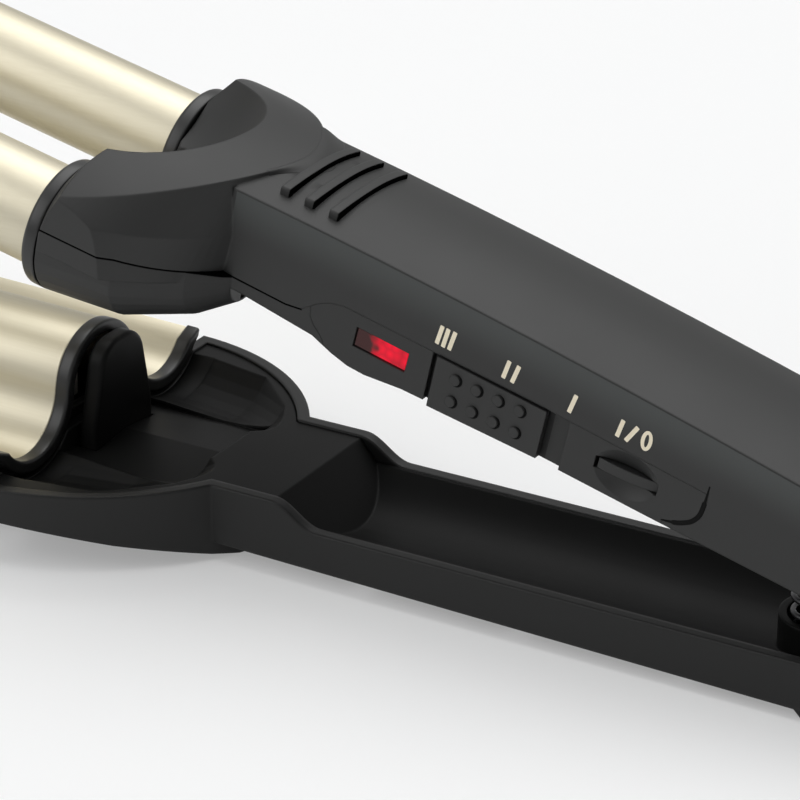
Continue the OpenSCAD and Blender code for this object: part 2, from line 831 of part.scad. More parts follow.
module power_rocker() color(black_c) on_open_arm() {
    pivot_y = panel_inner_y + fin_pivot_depth;
    translate([dish_x, pivot_y, dish_z]) rotate([0, 0, rocker_tilt]) {
        intersection() {
            box([-fin_len / 2, -half_w - pivot_y, -fin_t / 2], [fin_len / 2, 0, fin_t / 2]);
            translate([0, -half_w - pivot_y + fin_arc_r, -fin_t / 2])
                cylinder(h = fin_t, r = fin_arc_r, $fn = 180);
        }
        translate([0, 0, -fin_t]) cylinder(h = 2 * fin_t, r = 1.5);
    }
}

module near_barrel() color(champagne_c) barrel(-1);
module far_barrel() color(champagne_c) barrel(1);

module barrel(s) on_open_arm() {
    difference() {
        bar_x(-barrel_len, barrel_seat, s * axis_y, 0, barrel_r);
        bar_x(-barrel_len - 1, barrel_seat + 1, s * axis_y, 0, barrel_r - barrel_wall);
    }
}

module barrel_collars() color(black_c) on_open_arm() {
    for (s = sides)
        translate([0, s * axis_y, 0]) rotate([0, 90, 0]) rotate_extrude()
            polygon([
                [barrel_r + seat_clear, 0], [collar_r - 0.5, 0], [collar_r, 0.5],
                [collar_r, collar_len - seat_clear], [barrel_r + seat_clear, collar_len - seat_clear]
            ]);
}

module barrel_tip_caps() color(black_c) on_open_arm() {
    plug_r = barrel_r - barrel_wall - seat_clear;
    for (s = sides)
        translate([-barrel_len, s * axis_y, 0]) rotate([0, -90, 0]) rotate_extrude()
            polygon(concat(
                [[0, -5], [plug_r, -5], [plug_r, 0.02], [barrel_r, 0.02], [barrel_r, tip_len - 4]],
                arc_points(barrel_r - 4, tip_len - 4, 4, 0, 90, 12),
                [[0, tip_len]]
            ));
}

module barrel_heaters() color(ceramic_c) on_open_arm() {
    for (s = sides)
        box([-barrel_len + heater_inset, s * axis_y - heater_w / 2, -heater_t / 2],
            [-heater_back, s * axis_y + heater_w / 2, heater_t / 2]);
}

// Half-round aluminium shoes that press each heater against its barrel
module heater_clamps() color(steel_c) on_open_arm() {
    shoe_in = heater_t / 2 + 0.1;
    for (s = sides)
        for (t = sides)
            intersection() {
                bar_x(-barrel_len + heater_inset + 2, 2 - heater_back, s * axis_y, 0,
                    barrel_r - barrel_wall - 0.1);
                translate([0, s * axis_y - shoe_w / 2, t > 0 ? shoe_in : -shoe_in - barrel_r])
                    translate([-barrel_len, 0, 0]) cube([barrel_len, shoe_w, barrel_r]);
            }
}

module circuit_board() color(board_c) on_open_arm() {
    difference() {
        box([board_start, board_y, board_bottom], [board_end, board_y + board_t, board_top]);
        for (x = [board_start + 5, board_end - 5])
            bar_y(board_y - 1, board_y + board_t + 1, x, board_top - 2.4, 1.1);
    }
}

module slider_switch() color(steel_c) on_open_arm() {
    difference() {
        box([slider_mid - 8, panel_inner_y + 0.4, switch_bottom],
            [slider_mid + 8 + slider_travel, board_y - fine, panel_mid_z + 3.6]);
        box([slider_mid - stem_w / 2 - slide_clear, panel_inner_y, panel_mid_z - stem_h / 2 - slide_clear],
            [slider_mid + stem_w / 2 + slider_travel + slide_clear, panel_inner_y + 2,
                panel_mid_z + stem_h / 2 + slide_clear]);
    }
}

module power_switch() color(dark_c) on_open_arm() {
    box([dish_x - 6, panel_inner_y + fin_pivot_depth + 1.9, switch_bottom - 0.4],
        [dish_x + 6, board_y - fine, dish_z + 3.4]);
}

module thermal_fuse() color(steel_c) on_open_arm() {
    bar_x(132, 143, -5, 3, 2);
}

module upper_leads() color(red_c) on_open_arm() {
    for (y = [5, 8.4])
        bar_x(barrel_seat + 1.5, board_start + 6, y, lead_z, lead_d / 2);
}

module casing_screws() color(steel_c) on_open_arm() {
    for (x = casing_screw_x) {
        translate([x, 0, under_at(x) + 0.1]) cylinder(h = screw_head_h - 0.1 - seat_clear, d = screw_head_d);
        translate([x, 0, under_at(x) + 0.1]) cylinder(h = casing_wall + 7, d = screw_d);
    }
}

module hinge_bushes() color(brass_c) on_open_arm() {
    for (s = sides)
        difference() {
            bar_y(s > 0 ? lug_half_w - bush_len : -lug_half_w, s > 0 ? lug_half_w : bush_len - lug_half_w,
                hinge_x, -barrel_rise, bush_r);
            bar_y(-lug_half_w - 1, lug_half_w + 1, hinge_x, -barrel_rise, pin_r + pin_clear);
        }
}

module gland_seat() color(black_c) on_open_arm() {
    translate([tail_x - gland_seat_len, 0, gland_z]) rotate([0, 90, 0]) rotate_extrude()
        polygon([
            [gland_neck_r + 0.06, 0], [gland_seat_r, 0], [gland_seat_r, gland_seat_len],
            [gland_neck_r + 0.06, gland_seat_len],
            [gland_neck_r + 0.06, gland_flange_x - tail_x + gland_seat_len + gland_flange_t + 0.15],
            [gland_flange_r + 0.3, gland_flange_x - tail_x + gland_seat_len + gland_flange_t + 0.15],
            [gland_flange_r + 0.3, gland_flange_x - tail_x + gland_seat_len - 0.15],
            [gland_neck_r + 0.06, gland_flange_x - tail_x + gland_seat_len - 0.15]
        ]);
}

module swivel_gland() color(dark_c) on_open_arm() {
    bore_r = gland_bore_d / 2;
    start = tail_x - gland_seat_len;
    outer = gland_neck_r + 1;
    translate([start, 0, gland_z]) rotate([0, 90, 0]) rotate_extrude()
        polygon([
            [bore_r, 0], [gland_neck_r, 0], [gland_neck_r, gland_flange_x - start],
            [gland_flange_r, gland_flange_x - start],
            [gland_flange_r, gland_flange_x - start + gland_flange_t],
            [gland_neck_r, gland_flange_x - start + gland_flange_t],
            [gland_neck_r, gland_seat_len + 0.4], [outer, gland_seat_len + 0.4],
            [outer, gland_seat_len + 2.4], [gland_neck_r, gland_seat_len + gland_len - 1],
            [gland_neck_r - 0.6, gland_seat_len + gland_len], [bore_r, gland_seat_len + gland_len]
        ]);
}

// ---- Lower arm ----

// Outline of the bowl from above: two arcs, cut off square at the front
module bowl_plan(inset) {
    intersection() {
        bowl_side(inset, -1);
        bowl_side(inset, 1);
        translate([cover_front, -big / 4]) square([big / 2, big / 2]);
    }
}

module bowl_side(inset, s) {
    translate([-bowl_x, s * bowl_centre_y]) circle(r = bowl_r - inset, $fn = 180);
}

// The rim seen from the side, with its step from the bowl down to the handle
function rim_line(low, high) = [for (i = [0:12]) let (t = i / 12)
    [-step_start + (step_start - step_end) * t, low + (high - low) * (1 + cos(180 * t)) / 2]];

module below_rim(low, high, x1) {
    across(-big / 2, big / 2) polygon(concat(
        [[-big, high]], rim_line(low, high), [[x1, low], [x1, -big / 8], [-big, -big / 8]]
    ));
}

// Section of the bowl from side to side, lifted by the floor's thickness where it is hollow
module bowl_section(lift) {
    edge = [bowl_half_w, big / 8];
    polygon(concat(
        [for (q = bowl_under) [q[0], q[1] + lift]], [edge, [-edge[0], edge[1]]],
        [for (i = [len(bowl_under) - 1:-1:0]) [-bowl_under[i][0], bowl_under[i][1] + lift]]
    ));
}

module bowl_solid(inset, lift) {
    intersection() {
        along(cover_front - 1, 0) bowl_section(lift);
        translate([0, 0, -1]) linear_extrude(big / 8) bowl_plan(inset);
    }
}

// The lower handle, whose underside falls away towards the bowl
module handle_trough(inset, lift, x0, x1) {
    w = lower_half_w - inset;
    intersection() {
        translate([0, 0, under_edge_z + lift]) rotate([0, under_slope, 0]) along(-big / 2, big / 8)
            polygon([[-w, 0], [-under_flat, -under_drop], [under_flat, -under_drop], [w, 0],
                [w, big / 8], [-w, big / 8]]);
        box([x0, -w, 0], [x1, w, big / 8]);
    }
}

// The foot under the tail
module tail_foot() {
    across(-foot_half_w, foot_half_w) polygon([
        [foot_front - 3, 3], [foot_front, 0], [foot_rear, 0], [foot_rear + 1.5, 1.5],
        [foot_rear + 1.5, 3]
    ]);
}

module lower_cover() color(black_c) {
    difference() {
        union() {
            difference() {
                intersection() {
                    union() {
                        bowl_solid(0, 0);
                        handle_trough(0, 0, bowl_back_x - 8, cover_end);
                        tail_foot();
                    }
                    below_rim(rim_z, bowl_rim_z, cover_end);
                }
                intersection() {
                    bowl_solid(cover_wall, cover_floor);
                    box([cover_front + cover_wall, -big / 8, -1], [0, big / 8, big / 8]);
                }
                handle_trough(cover_wall, cover_floor, bowl_back_x - 12, cover_end - cover_wall);
                // The tail wall ends just below the upper arm, which it stops
                box([tail_wall_x, -big / 8, tail_wall_z], [big / 8, big / 8, big / 8]);
            }
            ears();
            for (x = tray_screw_x) for (s = sides)
                screw_post(x, s * tray_screw_y, under_edge_z - under_drop + 1, tray_screw_pad_z, tray_boss_r);
        }
        bar_y(-lower_half_w - 1, lower_half_w + 1, 0, hinge_z, pin_r + seat_clear);
        for (s = sides)
            bar_y(s > 0 ? lower_half_w - pin_head_h : -lower_half_w - 1,
                s > 0 ? lower_half_w + 1 : pin_head_h - lower_half_w, 0, hinge_z, pin_head_r + seat_clear);
        for (x = tray_screw_x) for (s = sides) {
            screw_post(x, s * tray_screw_y, -1, tray_screw_top, screw_d / 2 + seat_clear);
            screw_post(x, s * tray_screw_y, -1, tray_screw_head_z, screw_head_d / 2 + seat_clear);
        }
        collar_nests();
    }
}

// Room for the closed upper collars in the front of the bowl
module collar_nests() {
    on_closed_arm()
        for (s = sides) bar_x(plate_end - 5, collar_len + 1, s * axis_y, 0, collar_r + nest_gap);
}

module screw_post(x, y, z0, z1, r) {
    translate([x, y, z0]) cylinder(h = z1 - z0, r = r);
}

// Two ears that hold the hinge pin
module ears() {
    for (s = sides) {
        y0 = s > 0 ? ear_inner_y : -lower_half_w;
        bar_y(y0, y0 + ear_t, 0, hinge_z, ear_r);
        box([-ear_r, y0, cover_floor], [ear_r, y0 + ear_t, hinge_z]);
    }
}

// The long trough in the tray, up to the foot of the ramp
module trough_cut(grow) {
    intersection() {
        translate([-step_start, 0, trough_bottom_z + trough_r_long]) rotate([0, 90, 0])
            cylinder(h = 200, r = trough_r_long + grow, $fn = 180);
        across(-big / 2, big / 2) polygon([
            [-step_start - grow, plateau_z], [-step_start + ramp_run - grow, trough_bottom_z - grow],
            [-step_start + ramp_run, -5], [10, -5], [10, 60], [-step_start, 60]
        ]);
    }
}

module tray_block() {
    bowl_solid(cover_wall + tray_gap, cover_floor + tray_gap);
    handle_trough(cover_wall + tray_gap, cover_floor + tray_gap, bowl_back_x - 6, tray_end);
}

module lower_tray() color(black_c) {
    difference() {
        union() {
            difference() {
                intersection() {
                    tray_block();
                    below_rim(tray_lip_z, plateau_z, tray_end);
                    box([cover_front + cover_wall + tray_gap, -big / 8, -1], [0, big / 8, big / 8]);
                }
                tray_hollow();
            }
            intersection() {
                union() {
                    screw_post(-spring_x, 0, 0, trough_bottom_z + cup_h, cup_r);
                    for (x = tray_screw_x) for (s = sides)
                        screw_post(x, s * tray_screw_y, tray_screw_pad_z + tray_gap, rim_z - 1, tray_boss_r);
                }
                handle_trough(cover_wall + tray_gap, cover_floor + tray_gap, -big / 2, tray_end);
            }
        }
        difference() {
            trough_cut(0);
            screw_post(-spring_x, 0, 0, trough_bottom_z + cup_h, cup_r);
        }
        screw_post(-spring_x, 0, spring_bottom, big / 8, cup_bore_r);
        collar_nests();
        on_closed_arm() {
            lobes(nest_gap);
            box([ridge_block_start - 12, -ridge_foot_half - tray_gap, -big / 8],
                [ridge_block_end + tray_gap, ridge_foot_half + tray_gap, big / 8]);
        }
        // The floor between the collars rises to a low ridge in the middle
        along(cover_front, centre_ridge_end) polygon([
            [0, centre_ridge_z], [centre_ridge_half, centre_ridge_z - centre_ridge_fall],
            [centre_ridge_half, big / 8], [-centre_ridge_half, big / 8],
            [-centre_ridge_half, centre_ridge_z - centre_ridge_fall]
        ]);
        for (x = tray_screw_x) for (s = sides) {
            screw_post(x, s * tray_screw_y, 0, tray_screw_top, screw_d / 2 + seat_clear);
            screw_post(x, s * tray_screw_y, 0, tray_screw_pad_z + tray_gap, tray_boss_r + tray_gap);
        }
    }
}

// Leaves the trough and its two edges as one thin skin
module tray_hollow() {
    difference() {
        box([-step_start + ramp_run + 2, -tray_half_w + tray_t, -1],
            [tray_end - tray_t, tray_half_w - tray_t, tray_lip_z - tray_t]);
        trough_cut(tray_t);
    }
}

// One face of the wave, from edge to edge: flange, trough, ridge, trough, flange
function wave_line(r, ridge, edge) = concat(
    [[-flange_y, edge]],
    arc_points(-axis_y, 0, r, 180 + lip_angle, 360 - junction_angle, wave_steps),
    [for (i = [1:wave_steps - 1]) let (a = 180 - junction_angle - (180 - 2 * junction_angle) * i / wave_steps)
        [ridge * cos(a), ridge * sin(a) - ridge_drop]],
    arc_points(axis_y, 0, r, 180 + junction_angle, 360 - lip_angle, wave_steps),
    [[flange_y, edge]]
);

// A wave-shaped strip: two troughs with flanges, and the ridge between them
module wave_band(lift, t) {
    r = trough_r - lift;
    edge = -r * sin(lip_angle) + (flange_y - axis_y - r * cos(lip_angle)) * tan(flange_rise);
    edge_t = min(t, plate_t + lift);
    low = wave_line(r + t, ridge_r + lift - t, edge - edge_t);
    polygon(concat(wave_line(r, ridge_r + lift, edge), [for (i = [len(low) - 1:-1:0]) low[i]]));
}

module wave_plate() color(champagne_c) on_closed_arm() {
    along(plate_start, plate_end) wave_band(0, plate_t);
}

module plate_collar() color(black_c) on_closed_arm() {
    along(plate_end, plate_end + plate_collar_len) wave_band(collar_lift, plate_t + 1.2);
}

// Outline of one side of the ridge block's top: a leaning flank and a rounded corner
function ridge_corner() = let (
    lean = atan(ridge_block_taper),
    cz = ridge_block_top - ridge_block_corner_r,
    cy = ridge_block_half - ridge_block_taper * cz - ridge_block_corner_r / cos(lean)
) arc_points(cy, cz, ridge_block_corner_r, lean, 90, 10);

module ridge_block() color(black_c) {
    half = concat([[ridge_foot_half, -axis_y], [ridge_foot_half, ridge_block_foot]], ridge_corner());
    difference() {
        on_closed_arm() along(ridge_block_start, ridge_block_end)
            polygon(concat(half, [for (i = [len(half) - 1:-1:0]) [-half[i][0], half[i][1]]]));
        box([-big, -axis_y, -big / 8], [0, axis_y, cover_floor + tray_gap]);
    }
}

// Outline of the cool backing below the wave plate
module backing_outline(inset) {
    w = backing_half_w - inset;
    bottom = -backing_depth + inset;
    r = backing_corner_r - inset;
    translate([-w, bottom + r]) square([2 * w, lip_z - bottom - r]);
    translate([-w + r, bottom]) square([2 * (w - r), r + fine]);
    for (s = sides) translate([s * (w - r), bottom + r]) circle(r = r);
}

module plate_backing() color(black_c) on_closed_arm() {
    difference() {
        along(plate_start, plate_end) backing_outline(0);
        along(plate_start + 1.6, plate_end - 1.6) backing_outline(backing_wall);
        along(plate_start - 1, plate_end + 1) wave_under(plate_t + backing_gap);
        for (s = sides)
            bar_x(plate_end - 3, plate_end + 1, s * lead_y, -lead_drop, lead_d / 2 + 0.4);
    }
}

// Everything above the underside of the wave plate
module wave_under(t) {
    for (s = sides) translate([s * axis_y, 0]) circle(r = trough_r + t);
    translate([-big / 8, -(trough_r + t) * sin(lip_angle)]) square([big / 4, big / 8]);
}

module lower_tip_cap() color(black_c) on_closed_arm() {
    along(plate_start - tip_len, plate_start) difference() {
        union() {
            backing_outline(0);
            intersection() {
                translate([0, -ridge_drop]) circle(r = ridge_r);
                translate([-axis_y, lip_z - 1]) square([2 * axis_y, axis_y]);
            }
        }
        for (s = sides) translate([s * axis_y, 0]) circle(r = trough_r);
    }
}

module lower_heater() color(ceramic_c) on_closed_arm() {
    box([plate_start + 12, -4.5, -9.4], [plate_end - 6, 4.5, 4.5]);
}

module lower_leads() color(red_c) {
    for (s = sides) bar_x(cover_front - 20, cover_front - 0.3, s * lead_y, backing_lead_z, lead_d / 2);
}

module tray_screws() color(steel_c) {
    for (x = tray_screw_x) for (s = sides) {
        screw_post(x, s * tray_screw_y, tray_screw_head_z - screw_head_h, tray_screw_head_z - seat_clear,
            screw_head_d / 2);
        screw_post(x, s * tray_screw_y, tray_screw_head_z - screw_head_h, tray_screw_top - 0.2, screw_d / 2);
    }
}

module hinge_pin() color(steel_c) {
    bar_y(-lower_half_w + 0.2, lower_half_w - 0.2, 0, hinge_z, pin_r);
    for (s = sides)
        bar_y(s > 0 ? lower_half_w - pin_head_h + 0.05 : -lower_half_w + 0.2,
            s > 0 ? lower_half_w - 0.2 : -lower_half_w + pin_head_h - 0.05, 0, hinge_z, pin_head_r);
}

// ---- Arm spring: one unbroken tube wound by formula ----

spring_sides = 6;
spring_rings = 8;
spring_lead = spring_wire;
spring_height = spring_top - spring_bottom - 2 * spring_lead;
spring_steps = spring_turns * spring_rings;

// Centre line: a short upright end, the turns, and a short upright end
function spring_point(i) = let (t = i / spring_steps)
    [-spring_x + spring_r * cos(360 * spring_turns * t), spring_r * sin(360 * spring_turns * t),
        spring_bottom + spring_lead + spring_height * t];
spring_path = concat(
    [spring_point(0) - [0, 0, spring_lead]],
    [for (i = [0:spring_steps]) spring_point(i)],
    [spring_point(spring_steps) + [0, 0, spring_lead]]
);
function unit(v) = v / norm(v);
spring_last = len(spring_path) - 1;
function spring_dir(i) = i == 0 || i == spring_last ? [0, 0, 1]
    : unit(spring_path[i + 1] - spring_path[i - 1]);
function spring_ring(i) = let (
    d = spring_dir(i),
    out = unit(spring_path[i] - [-spring_x, 0, spring_path[i][2]]),
    side = unit(cross(d, out)),
    up = cross(side, d)
) [for (k = [0:spring_sides - 1]) let (a = 360 * k / spring_sides)
    spring_path[i] + spring_wire / 2 * (cos(a) * side + sin(a) * up)];

// Least gap between one turn and the next
spring_gap = min([for (i = [0:spring_steps - spring_rings])
    norm(spring_point(i + spring_rings) - spring_point(i))]) - spring_wire;
echo(spring_gap = spring_gap);

module arm_spring() color(steel_c) {
    n = spring_sides;
    polyhedron(
        points = [for (i = [0:spring_last]) each spring_ring(i)],
        faces = concat(
            [for (k = [1:n - 2]) [0, k, k + 1]],
            [for (i = [0:spring_last - 1]) for (k = [0:n - 1]) [i * n + k, (i + 1) * n + k, i * n + (k + 1) % n]],
            [for (i = [0:spring_last - 1]) for (k = [0:n - 1])
                [i * n + (k + 1) % n, (i + 1) * n + k, (i + 1) * n + (k + 1) % n]],
            [for (k = [1:n - 2]) [spring_last * n, spring_last * n + k + 1, spring_last * n + k]]
        )
    );
}

upper_casing();
upper_base();
lamp_bezel();
lamp_lens();
indicator_led();
temperature_slider();
slider_track();
switch_plate();
power_rocker();
near_barrel();
far_barrel();
barrel_collars();
barrel_tip_caps();
barrel_heaters();
heater_clamps();
circuit_board();
slider_switch();
power_switch();
thermal_fuse();
upper_leads();
casing_screws();
hinge_bushes();
swivel_gland();
gland_seat();
lower_cover();
lower_tray();
wave_plate();
plate_collar();
ridge_block();
plate_backing();
lower_tip_cap();
lower_heater();
lower_leads();
tray_screws();
hinge_pin();
arm_spring();
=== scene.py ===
# %% [markdown]
# # A hair waver, dressed for its picture
# This file is a lesson in small cells. It loads a finished technical model of a hair waver and
# gives it the looks of the real thing: moulded black plastic, barrels with a champagne coating, a
# lit lamp. The technical model stays as it is. Each new piece rides on one of its moving bodies.

# %% Load the frame
import json
import math

import bmesh
import bpy
import numpy as np
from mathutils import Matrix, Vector


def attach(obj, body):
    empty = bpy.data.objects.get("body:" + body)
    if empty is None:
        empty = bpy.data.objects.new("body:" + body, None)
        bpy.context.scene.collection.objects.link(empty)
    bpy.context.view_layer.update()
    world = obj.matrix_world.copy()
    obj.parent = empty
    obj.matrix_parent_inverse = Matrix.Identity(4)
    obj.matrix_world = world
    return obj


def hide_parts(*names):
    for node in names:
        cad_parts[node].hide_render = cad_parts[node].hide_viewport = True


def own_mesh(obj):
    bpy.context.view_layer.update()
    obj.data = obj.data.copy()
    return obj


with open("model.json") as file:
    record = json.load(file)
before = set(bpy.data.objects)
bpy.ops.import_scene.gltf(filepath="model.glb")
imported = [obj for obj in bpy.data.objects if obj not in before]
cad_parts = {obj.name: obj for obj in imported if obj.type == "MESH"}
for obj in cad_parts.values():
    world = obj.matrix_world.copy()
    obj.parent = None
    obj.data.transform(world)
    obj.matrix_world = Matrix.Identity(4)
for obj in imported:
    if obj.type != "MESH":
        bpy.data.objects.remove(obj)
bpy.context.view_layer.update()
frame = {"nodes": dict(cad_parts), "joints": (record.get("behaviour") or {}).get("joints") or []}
nodes = frame["nodes"]
print("nodes in the frame:", len(nodes))

# %% [markdown]
# ## Two frames
# The upper arm is drawn in its own frame: X runs from the front of the barrel collars to the tail,
# Z up from the barrel axes. One turn about the hinge pin brings a point to its place in the whole
# object. The wave plate is drawn in the same way, but as the arm lies when the jaws are closed.

# %% Places in millimetres
MM = 0.001
jaw = next(joint for joint in frame["joints"] if joint["name"] == "jaw_hinge")
HINGE_Z = jaw["pos_m"][2] / MM
HINGE_TO_COLLAR = 191.8
BARREL_RISE = 8.74
CLOSED_PITCH = math.radians(1.29)
OPEN_PITCH = CLOSED_PITCH + math.radians(jaw["range_deg"][1])


def turned(points, pitch):
    """Row place of arm points: x' = a cos p + h sin p and z' = hinge - a sin p + h cos p,
    where a is the distance from the pin along the arm and h the height above it."""
    x, y, z = np.moveaxis(np.asarray(points, dtype=float), -1, 0)
    along, high = x - HINGE_TO_COLLAR, z + BARREL_RISE
    return np.stack([along * math.cos(pitch) + high * math.sin(pitch), y,
                     HINGE_Z - along * math.sin(pitch) + high * math.cos(pitch)], axis=-1)


def on_upper(points):
    return turned(points, OPEN_PITCH)


def on_plate(points):
    return turned(points, CLOSED_PITCH)


print("hinge height:", round(HINGE_Z, 2), "mm, open pitch:", round(math.degrees(OPEN_PITCH), 2))

# %% [markdown]
# ## From a grid of points to a piece
# Every new surface here is a grid: rows of points, each row a closed or open line. Numpy works out
# all points at once, and the quads between them come from their row and column numbers. Doubles are
# merged at the end, so that seams and poles close. Blender's own tools could draw the same shapes
# by hand, but a formula can be read, checked and changed by one number.

# %% Grid and piece helpers
def patch(points, ring=False, loop=False):
    """Points and quads of a grid. ring joins the last column to the first, loop the last row to
    the first. Point number = row times columns + column."""
    rows, columns = points.shape[:2]
    r, c = np.meshgrid(np.arange(rows - (not loop)), np.arange(columns - (not ring)), indexing="ij")
    below, beside = (r + 1) % rows, (c + 1) % columns
    quads = np.stack([r * columns + c, below * columns + c, below * columns + beside,
                      r * columns + beside], axis=-1)
    return points.reshape(-1, 3), quads.reshape(-1, 4).tolist()


def lid(points):
    """One flat face over a closed line of points."""
    return np.asarray(points), [list(range(len(points)))]


def capped(grid):
    """A grid whose rows are closed lines, with a flat face on its first and last row."""
    return [patch(grid, ring=True), lid(grid[0]), lid(grid[-1])]


def seated(patches, frame_of):
    """Patches brought from an arm's frame to their place in the whole object."""
    return [(frame_of(points), faces) for points, faces in patches]


SAME_POINT = 0.002
SHARP_ANGLE = math.radians(35)


def make_piece(name, patches, body, finish, stands_for=()):
    """Joins patches, given in millimetres, into one object that rides on a body. Edges that turn
    by more than the sharp angle stay crisp, and the rest is shaded smooth."""
    points, faces, start = [], [], 0
    for vertices, polygons in patches:
        points.append(vertices)
        faces += [[corner + start for corner in polygon] for polygon in polygons]
        start += len(vertices)
    mesh = bpy.data.meshes.new(name)
    mesh.from_pydata((np.concatenate(points) * MM).tolist(), [], faces)
    work = bmesh.new()
    work.from_mesh(mesh)
    bmesh.ops.remove_doubles(work, verts=work.verts, dist=SAME_POINT * MM)
    bmesh.ops.recalc_face_normals(work, faces=work.faces)
    work.to_mesh(mesh)
    work.free()
    mesh.shade_smooth()
    mesh.set_sharp_from_angle(angle=SHARP_ANGLE)
    mesh.materials.append(finish)
    piece = bpy.data.objects.new(name, mesh)
    bpy.context.scene.collection.objects.link(piece)
    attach(piece, body)
    if stands_for:
        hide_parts(*stands_for)
    print(name, len(mesh.polygons), "faces")
    return piece


# %% [markdown]
# ## Shader sums as Python sums
# A material is a net of nodes. Wiring it by hand is slow to read, so a small class stands for one
# output socket and turns + - * and the two comparisons into Math nodes. Any other node comes from
# one method, and a few short methods name the nets that come back often.

# %% A material as a small kit
class Wire:
    """One output socket of a material, with arithmetic."""

    def __init__(self, kit, socket):
        self.kit, self.socket = kit, socket

    def _math(self, operation, first, second):
        return self.kit.add("ShaderNodeMath", {"operation": operation}, {0: first, 1: second})

    def __add__(self, other):
        return self._math("ADD", self, other)

    def __sub__(self, other):
        return self._math("SUBTRACT", self, other)

    def __rsub__(self, other):
        return self._math("SUBTRACT", other, self)

    def __mul__(self, other):
        return self._math("MULTIPLY", self, other)

    def __gt__(self, other):
        return self._math("GREATER_THAN", self, other)

    def __lt__(self, other):
        return self._math("LESS_THAN", self, other)

    __radd__ = __add__
    __rmul__ = __mul__


class Finish:
    """The nodes of a new material, or of a world, filled through add()."""

    def __init__(self, name, world=None):
        self.material = world or bpy.data.materials.new(name)
        self.material.use_nodes = True
        self.tree = self.material.node_tree
        self.tree.nodes.clear()
        self.spot = None
        self.output = self.tree.nodes.new(
            "ShaderNodeOutputWorld" if world else "ShaderNodeOutputMaterial")

    def add(self, kind, settings=None, values=None, out=0):
        """Makes a node: its settings first, then a value or a Wire for each named input."""
        node = self.tree.nodes.new(kind)
        for key, value in (settings or {}).items():
            setattr(node, key, value)
        for key, value in (values or {}).items():
            if isinstance(value, Wire):
                self.tree.links.new(value.socket, node.inputs[key])
            else:
                node.inputs[key].default_value = value
        return Wire(self, node.outputs[out])

    def place(self):
        """Object coordinates, in metres, from one node that the whole net shares."""
        if self.spot is None:
            self.spot = self.add("ShaderNodeTexCoord", out="Object")
        return self.spot

    def axis(self, letter):
        """One of the three Object coordinates, in metres."""
        return self.add("ShaderNodeSeparateXYZ", {}, {"Vector": self.place()}, out=letter)

    def noise(self, grain_mm, detail=2, stretch=(1, 1, 1)):
        """Cloudy values from 0 to 1 whose lumps are about grain_mm wide."""
        scaled = self.add("ShaderNodeMapping", {}, {"Vector": self.place(), "Scale": stretch})
        return self.add("ShaderNodeTexNoise", {}, {
            "Vector": scaled, "Scale": 1 / (grain_mm * MM), "Detail": detail, "Roughness": 0.55})

    def ray(self, kind):
        """1 for rays of one kind: Camera, Glossy or Transmission."""
        return self.add("ShaderNodeLightPath", out=f"Is {kind} Ray")

    def ramp(self, value, start, end, to=1.0, smooth=False):
        """0 where the value is at start, the given amount at end and beyond, even in between."""
        kind = "SMOOTHSTEP" if smooth else "LINEAR"
        return self.add("ShaderNodeMapRange", {"interpolation_type": kind},
                        {"Value": value, "From Min": start, "From Max": end, "To Max": to})

    def bump(self, height, depth_mm, strength, normal=None):
        """Normals bent by a height pattern, on top of other bent normals if there are any."""
        values = {"Height": height, "Distance": depth_mm * MM, "Strength": strength}
        if normal:
            values["Normal"] = normal
        return self.add("ShaderNodeBump", {}, values)

    def mix(self, mask, low, high):
        """Colour low where the mask is 0, high where it is 1."""
        return self.add("ShaderNodeMix", {"data_type": "RGBA"},
                        {0: mask, 6: (*low, 1) if isinstance(low, tuple) else low,
                         7: (*high, 1) if isinstance(high, tuple) else high}, out=2)

    def largest(self, first, second):
        return self.add("ShaderNodeMath", {"operation": "MAXIMUM"}, {0: first, 1: second})

    def over(self, mask, top):
        """Lays another shader over the one made so far, where the mask is 1."""
        lower = Wire(self, self.output.inputs["Surface"].links[0].from_socket)
        both = self.add("ShaderNodeMixShader", {}, {0: mask, 1: lower, 2: top})
        self.tree.links.new(both.socket, self.output.inputs["Surface"])
        return self.material

    def shade(self, **values):
        """Ends the net in a Principled shader and gives the material back."""
        named = {key.replace("_", " "): value for key, value in values.items()}
        shader = self.add("ShaderNodeBsdfPrincipled", {}, named)
        self.tree.links.new(shader.socket, self.output.inputs["Surface"])
        return self.material


# %% [markdown]
# ## Moulded black plastic
# The arms are a fine-grained black plastic. Its grain is far too small to model, so a bump made of
# a fine noise bends the light instead. A Bevel node rounds the normals at each edge, because a
# moulded edge is never quite sharp. A Bevel modifier would do that too, but the technical pieces
# stay as they are. A coarse noise lets shade and roughness wander a little, as on a handled grip.

# %% Black plastic
GRAIN_MM, CLOUD_MM = 0.35, 18
GRAIN_DEPTH, GRAIN_STRENGTH = 0.03, 0.05
DARK_PART, LIGHT_PART = (1, 1.02, 1), (1.3, 1.33, 1.3)
# Matte black for the real seams, and painted shade on the rib backs.
SEAM_AND_SHADE_BLACK = (0.002, 0.002, 0.002, 1)


